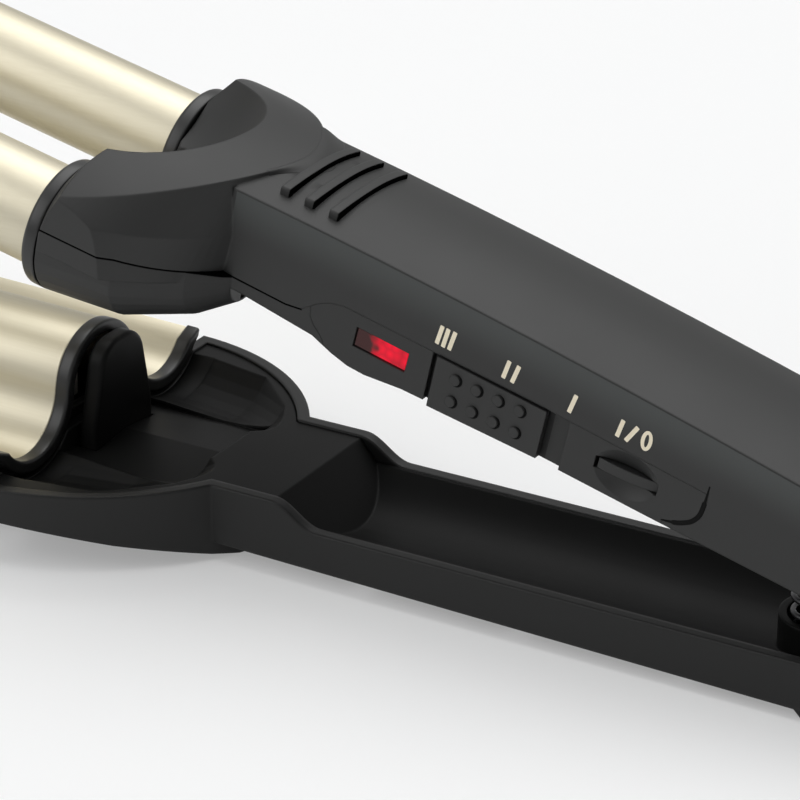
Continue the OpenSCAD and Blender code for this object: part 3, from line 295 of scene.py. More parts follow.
def black_plastic(name, shade=0.015, rough=0.52, edge_mm=0.6, gloss=0.46, band=None, painted_tint=None,
                  seams_and_shade=None):
    """Black plastic of one shade. A band mask lays painted light of another colour over it, and a
    seam mask matte black for real seams and for painted shade.
    """
    kit = Finish(name)
    fine = kit.noise(GRAIN_MM, detail=3)
    coarse = kit.noise(CLOUD_MM, detail=2)
    edge = kit.add("ShaderNodeBevel", {"samples": 8}, {"Radius": edge_mm * MM})
    dark, light = (tuple(shade * part for part in parts) for parts in (DARK_PART, LIGHT_PART))
    tone = kit.mix(coarse, dark, light)
    if band:
        tone = kit.mix(band(kit), tone, painted_tint)
    ready = kit.shade(Base_Color=tone, Roughness=rough + (coarse - 0.5) * 0.1,
                      Specular_IOR_Level=gloss,
                      Normal=kit.bump(fine, GRAIN_DEPTH, GRAIN_STRENGTH, edge))
    if seams_and_shade:
        # This matte black paints the real seams, and the shade on the rib backs.
        gap = kit.add("ShaderNodeBsdfPrincipled", {}, {
            "Base Color": SEAM_AND_SHADE_BLACK, "Roughness": 0.9, "Specular IOR Level": 0.0})
        ready = kit.over(seams_and_shade(kit), gap)
    return ready


# %% [markdown]
# ## Seams, a painted highlight and painted shade that follow the arm
# The parting line between the casing's two halves and the gap behind the collars run along the open
# upper arm. So does a painted highlight, a lighter band under the handle's crease, and a black band
# of painted shade on the slider's track. The seams could be cut into the mesh, but lines this thin
# would need many small faces, and a mask needs none. So the masks are worked out from a place's
# distance along the arm and its height above the barrel axes.

# %% Seams, painted light bands and the black finishes
CREASE_Z, CREASE_X, ARCH_R = 17.8, 10.0, 1550.0
CREASE_GAP, BAND_DEPTH, HEAD_END = 0.3, 9.0, 30.5
# Painted light: a lighter colour for the highlight under the crease, black for shade in the
# slider's gap.
CREASE_HIGHLIGHT_TINT, GAP_SHADE_TINT = (0.05, 0.055, 0.054), (0.001, 0.001, 0.001)


def arm_place(kit):
    """Distance along the open upper arm from its collars, and height above its barrel axes: the
    Object coordinates turned back by the open pitch, x cos p - z sin p and x sin p + z cos p."""
    x, z = kit.axis("X"), kit.axis("Z") - HINGE_Z * MM
    return (x * math.cos(OPEN_PITCH) - z * math.sin(OPEN_PITCH) + HINGE_TO_COLLAR * MM,
            x * math.sin(OPEN_PITCH) + z * math.cos(OPEN_PITCH) - BARREL_RISE * MM)


SEAM_HALF, SEAM_Z, SEAM_END, COLLAR_GAP_END = 0.17, 4.0, 47.3, 3.3
SEAM_STEPS = [(18.0, 31.5, -2.7), (31.5, 44.0, -0.4), (44.0, 47.0, 0.4)]


def casing_seams(kit):
    """1 in the parting line and in the gap behind the collars. The parting line starts 4 mm above
    the barrel axes and changes by each step's amount between the step's two places."""
    along, high = arm_place(kit)
    part = SEAM_Z * MM
    for start, end, change in SEAM_STEPS:
        part = part + kit.ramp(along, start * MM, end * MM, change * MM)
    away = kit.add("ShaderNodeMath", {"operation": "ABSOLUTE"}, {0: high - part})
    parting = (away < SEAM_HALF * MM) * (along < SEAM_END * MM)
    return kit.largest(parting, along < COLLAR_GAP_END * MM)


def crease_highlight(kit):
    """How near a place is below the handle's long crease, for a painted highlight: 0 at the band's
    depth and lower, 1 at the crease, and 0 again above it. The crease's height is h - (x - x0)^2 /
    2R along the arm."""
    along, high = arm_place(kit)
    away = along - CREASE_X * MM
    below = CREASE_Z * MM - away * away * (1 / (2 * ARCH_R * MM)) - high
    soft = kit.ramp(below, BAND_DEPTH * MM, 0.0, smooth=True)
    return soft * (below > CREASE_GAP * MM) * (along > HEAD_END * MM)


# The slider's gap lies in shade, and black painted on the track stands for that shade.
GAP_SHADE_START, GAP_SHADE_END = 73.0, 97.3


def track_gap_shade(kit):
    """1 behind and just beside the slider, where black paints the shade of its gap; 0 on the rest
    of the track.
    """
    along = arm_place(kit)[0]
    return (along > GAP_SHADE_START * MM) * (along < GAP_SHADE_END * MM)


# The casing gets a painted highlight below its crease, and its real seams in matte black.
casing_black = black_plastic("casing black", band=crease_highlight, painted_tint=CREASE_HIGHLIGHT_TINT,
                             seams_and_shade=casing_seams)
panel_black = black_plastic("panel black", edge_mm=0.35)
cover_black = black_plastic("cover black", shade=0.009, rough=0.42, edge_mm=0.9, gloss=0.3)
# The tray's black is darker than the casing's: partly the plastic's own colour, partly painted
# shade in the bowl.
shaded_tray_black = black_plastic("tray black", shade=0.006, rough=0.42, edge_mm=0.7, gloss=0.1)
# Deep black is the gland sleeve's own colour, and painted shade in the pip rings and the switch
# groove.
deep_black = black_plastic("deep black", shade=0.003, rough=0.7, edge_mm=0.3, gloss=0.12)
track_black = black_plastic("track black", shade=0.02, edge_mm=0.2, gloss=0.35, band=track_gap_shade,
                            painted_tint=GAP_SHADE_TINT)
collar_black = black_plastic("collar black", shade=0.014, rough=0.36, gloss=0.5)
print("black finishes made")

# %% [markdown]
# ## Champagne coating
# The barrels and the wave plate carry a satin metallic coating. It is brushed along its length, so
# the noise is stretched: long in X, short across. A picture of brushed metal would have to be laid
# round the tubes first, and a noise in space needs no such map. Metallic is high and the roughness
# in the middle.

# %% Champagne coating
BRUSH_MM, BRUSH_STRETCH, SPECKLE_MM, SPECKLE_DEPTH = 0.5, (0.02, 1, 1), 0.16, 0.01
CHAMPAGNE_DARK, CHAMPAGNE_LIGHT = (0.62, 0.57, 0.435), (0.69, 0.645, 0.515)


def champagne():
    """Two champagne tones along the brushed lines, and a speckle too fine to see as such."""
    kit = Finish("champagne coating")
    lines = kit.noise(BRUSH_MM, detail=4, stretch=BRUSH_STRETCH)
    speckle = kit.noise(SPECKLE_MM, detail=2)
    tone = kit.mix(lines, CHAMPAGNE_DARK, CHAMPAGNE_LIGHT)
    return kit.shade(Base_Color=tone, Metallic=0.85, Roughness=0.45 + (speckle - 0.5) * 0.1,
                     Normal=kit.bump(speckle, SPECKLE_DEPTH, 0.05))


champagne_coat = champagne()
print("champagne coating made")

# %% [markdown]
# ## Small finishes
# Steel for pins and screws, brass for the bushes, ceramic, wire and board for what is inside. Each
# could be a net of its own, but only colour, roughness and metal differ, so one function makes all.

# %% Small finishes
DARK_SHARE, ROUGH_SPREAD = 0.82, 0.15


def plain(name, colour, rough=0.4, metal=0.0, grain_mm=1.2):
    """A finish whose colour and roughness wander a little with the grain."""
    kit = Finish(name)
    cloud = kit.noise(grain_mm, detail=3)
    dark = tuple(DARK_SHARE * part for part in colour)
    return kit.shade(Base_Color=kit.mix(cloud, dark, colour), Metallic=metal,
                     Roughness=rough + (cloud - 0.5) * ROUGH_SPREAD)


steel = plain("bright steel", (0.56, 0.56, 0.58), 0.28, 1.0)
spring_steel = plain("spring steel", (0.12, 0.12, 0.125), 0.4, 1.0, 0.6)
aluminium = plain("aluminium", (0.72, 0.73, 0.74), 0.38, 1.0)
brass = plain("brass", (0.72, 0.52, 0.24), 0.3, 1.0)
ceramic = plain("ceramic", (0.74, 0.72, 0.66), 0.35)
wire_red = plain("wire red", (0.42, 0.03, 0.02), 0.45)
board_green = plain("board green", (0.02, 0.14, 0.06), 0.4)
print("small finishes made")

# %% [markdown]
# ## The lit lamp
# The lamp's window is a clear red block with a light behind its rear part. The front stays a dark,
# brownish red and the rear glows, so the glow rises along the arm. Small cells break up the glow,
# as the facets inside a real lamp's window do. A small light behind clear plastic would be closer
# to the real thing, but slow to draw and full of noise, so the window itself gives the light.

# %% Lamp glow
LAMP_X, LAMP_LEN, CELL_MM = 63.6, 10.2, 1.7
GLOW_START, GLOW_FULL, CELL_SHIFT = 0.32, 0.5, 0.25


def lamp_red():
    """The glow rises between two shares of the lamp's length, which the cells shift a little."""
    kit = Finish("lit lamp")
    share = (arm_place(kit)[0] - (LAMP_X - LAMP_LEN / 2) * MM) * (1 / (LAMP_LEN * MM))
    cells = kit.add("ShaderNodeTexVoronoi", {},
                    {"Vector": kit.place(), "Scale": 1 / (CELL_MM * MM)})
    rise = kit.ramp(share + (cells - 0.4) * CELL_SHIFT, GLOW_START, GLOW_FULL, smooth=True)
    base = kit.mix(rise, (0.03, 0.008, 0.008), (0.2, 0.0, 0.008))
    facets = kit.mix(cells, (0.8, 0.0, 0.022), (0.3, 0.0, 0.008))
    glow = kit.mix(rise, (0.016, 0.004, 0.004), facets)
    return kit.shade(Base_Color=base, Roughness=0.16, Specular_IOR_Level=0.25,
                     Emission_Color=glow, Emission_Strength=1.0)


lit_lamp = lamp_red()
print("lamp finish made")

# %% [markdown]
# ## A finish for every technical piece
# Pieces whose technical shape is already right stay, and only get their real finish. The shells are
# among them: their edges look moulded because the black finish rounds the normals there.

# %% Finishes on the technical pieces
FINISHES = {
    casing_black: ["upper_casing", "upper_base", "gland_seat", "power_switch"],
    panel_black: ["lamp_bezel", "temperature_slider", "switch_plate", "power_rocker"],
    cover_black: ["lower_cover", "plate_backing"],
    shaded_tray_black: ["lower_tray"],
    track_black: ["slider_track"],
    lit_lamp: ["lamp_lens", "indicator_led"],
    ceramic: ["barrel_heaters", "lower_heater"],
    aluminium: ["heater_clamps"],
    board_green: ["circuit_board"],
    steel: ["slider_switch", "thermal_fuse", "casing_screws", "tray_screws", "hinge_pin"],
    brass: ["hinge_bushes"],
    wire_red: ["upper_leads", "lower_leads"],
}
for finish, names in FINISHES.items():
    for name in names:
        nodes[name].data.materials.clear()
        nodes[name].data.materials.append(finish)
print("finishes on", sum(len(names) for names in FINISHES.values()), "technical pieces")

# %% [markdown]
# ## Stage, light and camera
# A pale floor, a broad soft lamp overhead, a smaller one behind for the sheen and one in front for
# the sides. The world is a white room that is brighter above and towards the barrels. The
# photograph has a plain white ground with soft shadows, which large lamps and a room give more
# truly than one strong lamp. The camera stands where the photograph was taken from.

# %% Camera
TARGET = Vector((-0.128, 0.0, 0.0319))
AZIMUTH, ELEVATION = math.radians(30.4), math.radians(24.6)
DISTANCE = 0.642
LENS_MM = 163.17

camera = bpy.data.objects.new("camera", bpy.data.cameras.new("camera"))
bpy.context.scene.collection.objects.link(camera)
back = Vector((math.sin(AZIMUTH) * math.cos(ELEVATION), -math.cos(AZIMUTH) * math.cos(ELEVATION),
               math.sin(ELEVATION)))
camera.location = TARGET + DISTANCE * back
camera.rotation_euler = back.to_track_quat("Z", "Y").to_euler()
camera.data.lens = LENS_MM
camera.data.sensor_width = 36
camera.data.clip_start = 0.01
bpy.context.scene.camera = camera
print("camera at", [round(v, 3) for v in camera.location])

# %% Floor, lamps and world
FLOOR_SIZE, FLOOR_Z = 6.0, -0.0002
FLOOR_CLOUD_MM, WHITE_SHARE = 60, 0.3


def floor_finish():
    """A pale floor that gives a share of plain white to the rays that see it as background."""
    kit = Finish("pale floor")
    cloud = kit.noise(FLOOR_CLOUD_MM, detail=3)
    kit.shade(Base_Color=kit.mix(cloud, (0.93, 0.935, 0.94), (0.945, 0.95, 0.95)), Roughness=0.75)
    white = kit.add("ShaderNodeEmission", {}, {"Strength": 1.0})
    seen = kit.add("ShaderNodeMath", {"operation": "ADD", "use_clamp": True},
                   {0: kit.ray("Camera") + kit.ray("Glossy"), 1: kit.ray("Transmission")})
    return kit.over(seen * WHITE_SHARE, white)


floor_mesh = bpy.data.meshes.new("floor")
half = FLOOR_SIZE / 2
floor_mesh.from_pydata([(x, y, FLOOR_Z) for x, y in
                        ((-half, -half), (half, -half), (half, half), (-half, half))],
                       [], [(0, 1, 2, 3)])
floor_mesh.materials.append(floor_finish())
floor = bpy.data.objects.new("floor", floor_mesh)
bpy.context.scene.collection.objects.link(floor)


def soft_lamp(name, place, size, power):
    """A square area lamp that looks at the camera's target."""
    data = bpy.data.lights.new(name, "AREA")
    data.shape, data.size, data.energy = "SQUARE", size, power
    lamp = bpy.data.objects.new(name, data)
    bpy.context.scene.collection.objects.link(lamp)
    lamp.location = place
    lamp.rotation_euler = (Vector(place) - TARGET).to_track_quat("Z", "Y").to_euler()


soft_lamp("key lamp", place=(-0.05, 0.3, 1.5), size=1.8, power=12.6)
soft_lamp("sheen lamp", place=(-0.34, 0.5, 1.2), size=0.9, power=3.2)
soft_lamp("fill lamp", place=(-0.85, -0.95, 0.8), size=0.9, power=4.8)

BRIGHT_SIDE = (-0.38, 0.3, 0.87)
DIM_AT, BRIGHT_AT, DIM_LEVEL, BRIGHT_LEVEL = -0.6, 0.9, 0.14, 0.55
GLOSSY_SHARE, ROOM_WHITE = 0.25, 0.8


def white_room():
    """Light that grows with direction dot bright side, and full white where the camera looks."""
    world = bpy.data.worlds.new("white room")
    kit = Finish("white room", world)
    toward = kit.add("ShaderNodeVectorMath", {"operation": "DOT_PRODUCT"},
                     {0: kit.add("ShaderNodeTexCoord", out="Generated"), 1: BRIGHT_SIDE},
                     out="Value")
    room = kit.add("ShaderNodeMapRange", {}, {
        "Value": toward, "From Min": DIM_AT, "From Max": BRIGHT_AT, "To Min": DIM_LEVEL,
        "To Max": BRIGHT_LEVEL})
    seen = kit.largest(kit.ray("Camera"), kit.ray("Glossy") * GLOSSY_SHARE)
    level = kit.add("ShaderNodeMapRange", {}, {
        "Value": kit.largest(seen, kit.ray("Transmission")), "To Min": room, "To Max": 1.0})
    glow = kit.add("ShaderNodeBackground", {}, {
        "Color": (ROOM_WHITE, ROOM_WHITE, ROOM_WHITE, 1), "Strength": level})
    kit.tree.links.new(glow.socket, kit.output.inputs["Surface"])
    return world


bpy.context.scene.world = white_room()
bpy.context.scene.view_settings.view_transform = "Standard"
print("stage ready")

# %% [markdown]
# ## Turned pieces
# Barrels, collars, tip caps and the cord gland are round about a line along X. A profile of points
# (x, radius) is turned about that line: y = radius cos t, z = radius sin t. The Spin tool or a
# Screw modifier does the same by hand. As a function it takes one line for each new piece.

# %% Turning helper
def rounded(corners, radius, steps=5):
    """An open line of corners. Each inner corner is cut by a quadratic curve that starts and ends
    radius away from it: (1-t)^2 a + 2t(1-t) corner + t^2 b."""
    corners = np.asarray(corners, dtype=float)
    line = [corners[:1]]
    t = np.linspace(0, 1, steps)[:, None]
    for before, corner, after in zip(corners[:-2], corners[1:-1], corners[2:]):
        back_step, on_step = before - corner, after - corner
        reach = min(radius, 0.45 * np.linalg.norm(back_step), 0.45 * np.linalg.norm(on_step))
        a = corner + reach * back_step / np.linalg.norm(back_step)
        b = corner + reach * on_step / np.linalg.norm(on_step)
        line.append((1 - t) ** 2 * a + 2 * t * (1 - t) * corner + t ** 2 * b)
    line.append(corners[-1:])
    return np.concatenate(line)


def rounded_loop(corners, radius, steps=5):
    """The same for a closed line, whose first and last corner are rounded too."""
    corners = np.asarray(corners, dtype=float)
    middle = (corners[0] + corners[-1]) / 2
    return rounded(np.vstack([middle, corners, middle]), radius, steps)[:-1]


def turn(profile, y=0.0, z=0.0, sides=96):
    """Turns a closed profile of (x, radius) about the line through (y, z) along X."""
    t = np.linspace(0, 2 * math.pi, sides, endpoint=False)
    x, r = profile[:, :1], profile[:, 1:2]
    grid = np.stack([x + 0 * t, y + r * np.cos(t), z + r * np.sin(t)], axis=-1)
    return patch(grid, ring=True, loop=True)


print("turning helper ready")

# %% [markdown]
# ## Barrels, collars and tip caps
# Two tubes with the champagne coating reach into the head through black collar rings. A round cap
# with a plug closes each tube's front end. Bevelled cylinders would come close, but a profile holds
# bore, rounded edge and plug in a few points. A small gap is left where one piece sits in another.

# %% Barrels, collars and tips
BARREL_R, BARREL_WALL, BARREL_LEN, BARREL_SEAT = 9.5, 1.2, 108.0, 13.0
AXIS_Y = 21.2
COLLAR_R, COLLAR_LEN, COLLAR_BEVEL = 11.95, 3.0, 0.6
TIP_LEN, PLUG_LEN, AXIS_GAP = 12.0, 5, 0.001
BARREL_ROUND, COLLAR_ROUND, TIP_ROUND = 0.3, 0.35, 4
FIT, SKIN = 0.04, 0.03
SIDES = {"near": -1, "far": 1}

BARREL_BORE = BARREL_R - BARREL_WALL


def pair(profile):
    """The same turned piece about both barrel axes."""
    return seated([turn(profile, sign * AXIS_Y) for sign in SIDES.values()], on_upper)


barrel_profile = rounded_loop([(-BARREL_LEN, BARREL_R), (BARREL_SEAT, BARREL_R),
                               (BARREL_SEAT, BARREL_BORE), (-BARREL_LEN, BARREL_BORE)],
                              BARREL_ROUND)
for side, sign in SIDES.items():
    tube = seated([turn(barrel_profile, sign * AXIS_Y)], on_upper)
    make_piece(f"{side}_barrel_tube", tube, "upper_arm", champagne_coat,
               [f"{side}_barrel"])

collar_back, collar_bore = COLLAR_LEN - 2 * SKIN, BARREL_R + FIT
collar_profile = rounded_loop([(0, collar_bore), (0, COLLAR_R - COLLAR_BEVEL),
                               (COLLAR_BEVEL, COLLAR_R), (collar_back, COLLAR_R),
                               (collar_back, collar_bore)], COLLAR_ROUND)
make_piece("collar_rings", pair(collar_profile), "upper_arm", collar_black,
           ["barrel_collars"])

plug_end, cap_start, cap_end = PLUG_LEN - BARREL_LEN, -BARREL_LEN - SKIN, -BARREL_LEN - TIP_LEN
tip_profile = rounded([(plug_end, AXIS_GAP), (plug_end, BARREL_BORE - FIT),
                       (cap_start, BARREL_BORE - FIT), (cap_start, BARREL_R),
                       (cap_end, BARREL_R), (cap_end, AXIS_GAP)], TIP_ROUND, 9)
make_piece("tip_caps", pair(tip_profile), "upper_arm", panel_black,
           ["barrel_tip_caps"])

# %% [markdown]
# ## Mouldings
# The wave plate, its rim and the blocks at its ends keep one section along X. The section is a
# closed line of (y, z) points. At each end the last rows step inwards along a quarter circle, which
# rounds the edge, and a flat face closes it. An extruded outline with a Bevel modifier looks alike,
# but on a bent line like the wave the bevel can pinch, and the inward step can't.

# %% Moulding helper
def inwards(line):
    """Unit vectors that point into a closed line: its edge directions turned by a quarter."""
    edge = np.roll(line, -1, axis=0) - np.roll(line, 1, axis=0)
    edge /= np.linalg.norm(edge, axis=1, keepdims=True)
    normal = np.stack([-edge[:, 1], edge[:, 0]], axis=1)
    y, z = line.T
    area = np.sum(y * np.roll(z, -1) - z * np.roll(y, -1))
    return normal if area > 0 else -normal


def moulding(line, start, end, edge=0.4, steps=4):
    """A closed (y, z) line carried from x = start to end, rounded by edge at both ends."""
    a = np.linspace(0, math.pi / 2, steps)
    inset = edge * (1 - np.sin(a))
    step = edge * (1 - np.cos(a))
    x = np.concatenate([start + step, end - step[::-1]])
    shrink = np.concatenate([inset, inset[::-1]])
    section = line[None] + shrink[:, None, None] * inwards(line)[None]
    column = np.broadcast_to(x[:, None, None], section.shape[:2] + (1,))
    return capped(np.concatenate([column, section], axis=2))


def arc(cy, cz, r, start, end, count=24):
    """Points on a circle from one angle to another, in degrees."""
    t = np.radians(np.linspace(start, end, count))
    return np.stack([cy + r * np.cos(t), cz + r * np.sin(t)], axis=1)


print("moulding helper ready")

# %% [markdown]
# ## Wave plate and its rim
# The plate under the barrels is one bent sheet: a trough for each barrel, a ridge between them and
# a short flange outside. A thicker black rim of the same section ends it. A Curve with an extrusion
# could follow such a line. Arcs that meet without a kink hold the whole wave in few numbers, and
# the plate's thickness is only a second radius.

# %% Wave plate and rim
TROUGH_R, PLATE_T, LIP_ANGLE = 10.4, 1.2, 36
RIDGE_DROP = 2.2
FLANGE_W, FLANGE_RISE = 3.1, math.radians(24)
PLATE_START, PLATE_END, PLATE_COLLAR = -BARREL_LEN, -3.6, 3.0
COLLAR_LIFT, RIM_EXTRA = 0.4, 1.2
PLATE_EDGE, RIM_EDGE = 0.3, 0.5
RIDGE_R = math.hypot(AXIS_Y, RIDGE_DROP) - TROUGH_R
JUNCTION = math.degrees(math.atan(RIDGE_DROP / AXIS_Y))
LIP_Y = AXIS_Y + TROUGH_R * math.cos(math.radians(LIP_ANGLE))
FLANGE_Y = LIP_Y + FLANGE_W


def wave_face(r, ridge, edge):
    """One face of the wave from edge to edge: a flange, a trough of radius r, the ridge, the other
    trough and flange. Trough and ridge meet where the line between their centres crosses them."""
    return np.concatenate([
        [(-FLANGE_Y, edge)], arc(-AXIS_Y, 0, r, 180 + LIP_ANGLE, 360 - JUNCTION, 40),
        arc(0, -RIDGE_DROP, ridge, 180 - JUNCTION, JUNCTION, 40)[1:-1],
        arc(AXIS_Y, 0, r, 180 + JUNCTION, 360 - LIP_ANGLE, 40), [(FLANGE_Y, edge)]])


def wave_line(lift, thick):
    """The wave's section, closed: its upper face, then back along the lower one."""
    lip = math.radians(LIP_ANGLE)
    r = TROUGH_R - lift
    edge = -r * math.sin(lip) + (FLANGE_Y - AXIS_Y - r * math.cos(lip)) * math.tan(FLANGE_RISE)
    low = wave_face(r + thick, RIDGE_R + lift - thick, edge - min(thick, PLATE_T + lift))
    return np.concatenate([wave_face(r, RIDGE_R + lift, edge), low[::-1]])


sheet = moulding(wave_line(0, PLATE_T), PLATE_START, PLATE_END, PLATE_EDGE)
make_piece("wave_sheet", seated(sheet, on_plate), "lower_arm", champagne_coat,
           ["wave_plate"])
rim = moulding(wave_line(COLLAR_LIFT, PLATE_T + RIM_EXTRA), PLATE_END + SKIN,
               PLATE_END + PLATE_COLLAR, RIM_EDGE, 6)
make_piece("wave_rim", seated(rim, on_plate), "lower_arm", collar_black,
           ["plate_collar"])

# %% [markdown]
# ## The lower tip
# The lower arm ends in a block that closes the wave and the backing. A box with the troughs cut out
# of it would do, but such cuts leave ragged faces. So the block is one more moulding: it has the
# wave's upper line and the backing's rounded lower corners.

# %% Lower tip
BACKING_HALF, BACKING_DEPTH, BACKING_CORNER = FLANGE_Y - 0.5, 18.4, 6.0
BLOCK_EDGE = 0.9


def tip_line():
    """Trough, ridge, trough from lip to lip, then down and round the two lower corners."""
    lip = -TROUGH_R * math.sin(math.radians(LIP_ANGLE))
    top = wave_face(TROUGH_R, RIDGE_R, lip)[1:-1]
    middle, corner = BACKING_HALF - BACKING_CORNER, BACKING_CORNER - BACKING_DEPTH
    return np.concatenate([[(-BACKING_HALF, lip)], top, [(BACKING_HALF, lip)],
                           arc(middle, corner, BACKING_CORNER, 0, -90, 14),
                           arc(-middle, corner, BACKING_CORNER, -90, -180, 14)])


block = moulding(tip_line(), PLATE_START - TIP_LEN, PLATE_START - SKIN, BLOCK_EDGE, 6)
make_piece("lower_tip", seated(block, on_plate), "lower_arm", cover_black,
           ["lower_tip_cap"])

# %% [markdown]
# ## The block behind the ridge
# A tombstone of solid plastic stands behind the wave's ridge and keeps the hair out of the bowl.
# Its flanks lean in a little and its top corners are large arcs. A bevelled box would need its
# corners moved by hand, and as a moulding it keeps the lean and the arcs as numbers.

# %% Ridge block
BLOCK_START, BLOCK_LEN = 0.5, 3.7
BLOCK_HALF, BLOCK_TOP, BLOCK_CORNER, BLOCK_TAPER, BLOCK_FOOT = 7.6, 7.6, 5.5, 0.22, -8.0


def block_line():
    """Half the outline from foot to crown: a straight foot, a flank that leans by the taper, and a
    corner arc that starts square to that flank; then the same half mirrored back down."""
    lean = math.atan(BLOCK_TAPER)
    height = BLOCK_TOP - BLOCK_CORNER
    centre = BLOCK_HALF - BLOCK_TAPER * height - BLOCK_CORNER / math.cos(lean)
    foot = BLOCK_HALF - BLOCK_TAPER * BLOCK_FOOT
    half = np.concatenate([[(foot, -AXIS_Y), (foot, BLOCK_FOOT)],
                           arc(centre, height, BLOCK_CORNER, math.degrees(lean), 88, 16)])
    return np.concatenate([half, half[::-1] * (-1, 1)])


block = moulding(block_line(), BLOCK_START, BLOCK_START + BLOCK_LEN, BLOCK_EDGE, 6)
# The block behind the ridge takes the tray's darker black, which is partly painted shade.
make_piece("ridge_tombstone", seated(block, on_plate), "lower_arm", shaded_tray_black,
           ["ridge_block"])

# %% [markdown]
# ## Grip ribs
# Three raised bars cross the handle's crown under the thumb. Each has an almost square section and
# follows the crown. Boxes pressed onto the handle with a Shrinkwrap modifier could do this too, but
# the crown's own formula puts them there at once. Their backs are steep and lie in shade, which a
# mask in their finish paints as matte black.

# %% Grip ribs
HALF_W, CROWN_SAG = 15.4, 2.3
CROWN_R = (HALF_W ** 2 + CROWN_SAG ** 2) / (2 * CROWN_SAG)
RIB_X, RIB_LEN, RIB_HALF, RIB_HEIGHT, RIB_SINK = (37.8, 42.8, 47.8), 23.9, 1.05, 0.85, 0.3
# The rib shade constant is how far behind a bar's middle the painted shade on its back starts.
RIB_STRAIGHT, RIB_END, RIB_SHADE_FROM, RIB_SQUARE, RIB_ROWS = 0.5, 0.4, 0.8, 8, 20


def crown(x, y):
    """Height of the handle's top: a circle across the arm, carried along a long arch."""
    crease = CREASE_Z - (x - CREASE_X) ** 2 / (2 * ARCH_R)
    return crease + CROWN_SAG - CROWN_R + np.sqrt(CROWN_R ** 2 - y ** 2)


def rib(x):
    """A crisp bar: x = x0 + a k c, z = crown + h k s, where (c, s) runs round a squared-off
    circle, |c|^8 + |s|^8 = 1, and k falls from 1 to 0.6 along a quarter circle at both ends. On
    the near half the height h grows by half of what the crown falls, so the top is straighter."""
    turn_angle = np.linspace(0, 2 * math.pi, 32, endpoint=False)
    size = (np.cos(turn_angle) ** RIB_SQUARE
            + np.sin(turn_angle) ** RIB_SQUARE) ** (-1 / RIB_SQUARE)
    c, s = size * np.cos(turn_angle), size * np.sin(turn_angle)
    end = np.linspace(0, math.pi / 2, 6)
    rim = 1 - RIB_END * (1 - np.sin(end))
    shrink = np.concatenate([rim, np.ones(RIB_ROWS), rim[::-1]])
    reach = RIB_LEN / 2 - RIB_END
    y = np.concatenate([-reach - RIB_END * np.cos(end), np.linspace(-reach, reach, RIB_ROWS),
                        reach + RIB_END * np.cos(end)[::-1]])
    fall = crown(x, 0.0) - crown(x, y)
    proud = (RIB_HEIGHT + np.where(y < 0, RIB_STRAIGHT, 0) * fall)[:, None]
    rise = np.where(s > 0, proud * s, RIB_SINK * s)
    grid = np.stack([x + RIB_HALF * shrink[:, None] * c, np.repeat(y[:, None], len(c), axis=1),
                     crown(x, y)[:, None] + shrink[:, None] * rise], axis=-1)
    return capped(grid)


def rib_back_shade(kit):
    """1 on the rear edge of every bar, where matte black paints the shade on its steep back: the
    distance behind the bar's middle, as a share of the bars' pitch, is above a limit."""
    pitch = RIB_X[1] - RIB_X[0]
    share = (arm_place(kit)[0] - (RIB_X[0] - pitch / 2) * MM) * (1 / (pitch * MM))
    return kit.add("ShaderNodeMath", {"operation": "FRACT"}, {0: share}) > 0.5 + RIB_SHADE_FROM / pitch


# Matte black paints the shade on the bars' steep backs.
rib_black = black_plastic("rib black", edge_mm=0.25, seams_and_shade=rib_back_shade)
bars = [part for x in RIB_X for part in rib(x)]
make_piece("grip_bars", seated(bars, on_upper), "upper_arm", rib_black)

# %% [markdown]
# ## Where the head meets the handle
# The head's flat top ends in a low step. Near the crease the step is sharp, but from the middle to
# the far side the real casing flows into the handle without an edge. A Bevel on the joined shells
# would round it, but they stay as they are, so a thin wedge of plastic fills the step. Its width
# grows from nearly nothing, and its height falls along a smooth S.

# %% Head fillet
CREST_Z, CREST_R = 20.5, 65.0
SHOULDER_TOP = 21.0
SHOULDER_X, SHOULDER_Y, SHOULDER_R = (-9.8, 9.75), (2.15, -3.0), (44.1, 25.5)
FILLET_Y, FILLET_W, FILLET_GROW = (-9.0, HALF_W - 0.05), (0.35, 4.6), 10
FILLET_LAP, FILLET_LIFT, FILLET_SINK, FILLET_STEPS = 0.6, 0.012, 0.4, 17


def smooth_step(t):
    """S-curve from 0 to 1: 3t^2 - 2t^3."""
    t = np.clip(t, 0, 1)
    return t * t * (3 - 2 * t)


def fillet():
    """For each y: the head's top ends on a slanted cone at x = xc + sqrt(r^2 - (|y| - yc)^2), all
    three linear in height. From there z = crown + step (1 - S(u)), with u from 0 to 1 over the
    width. The wedge starts a lap inside the edge and sinks below the crown, so it is closed."""
    y = np.linspace(*FILLET_Y, 49)[:, None]
    top = CREST_Z - CREST_R + np.sqrt(CREST_R ** 2 - y ** 2)
    share = top / SHOULDER_TOP
    middle_x, middle_y, radius = (low + (high - low) * share
                                  for low, high in (SHOULDER_X, SHOULDER_Y, SHOULDER_R))
    edge = middle_x + np.sqrt(radius ** 2 - (np.abs(y) - middle_y) ** 2)
    grown = smooth_step((y - FILLET_Y[0]) / FILLET_GROW)
    width = FILLET_W[0] + (FILLET_W[1] - FILLET_W[0]) * grown
    u = np.concatenate([[0], np.linspace(0, 1, FILLET_STEPS)])[None]
    x = edge + width * u - FILLET_LAP * (np.arange(FILLET_STEPS + 1) == 0)
    ground = crown(x, y)
    z = ground + (top - ground) * (1 - smooth_step(u)) + FILLET_LIFT
    line_x = np.concatenate([x, x[:, ::-1]], axis=1)
    line_z = np.concatenate([z, ground[:, ::-1] - FILLET_SINK], axis=1)
    return capped(np.stack([line_x, np.broadcast_to(y, line_x.shape), line_z], axis=-1))


make_piece("head_fillet", seated(fillet(), on_upper), "upper_arm", casing_black)

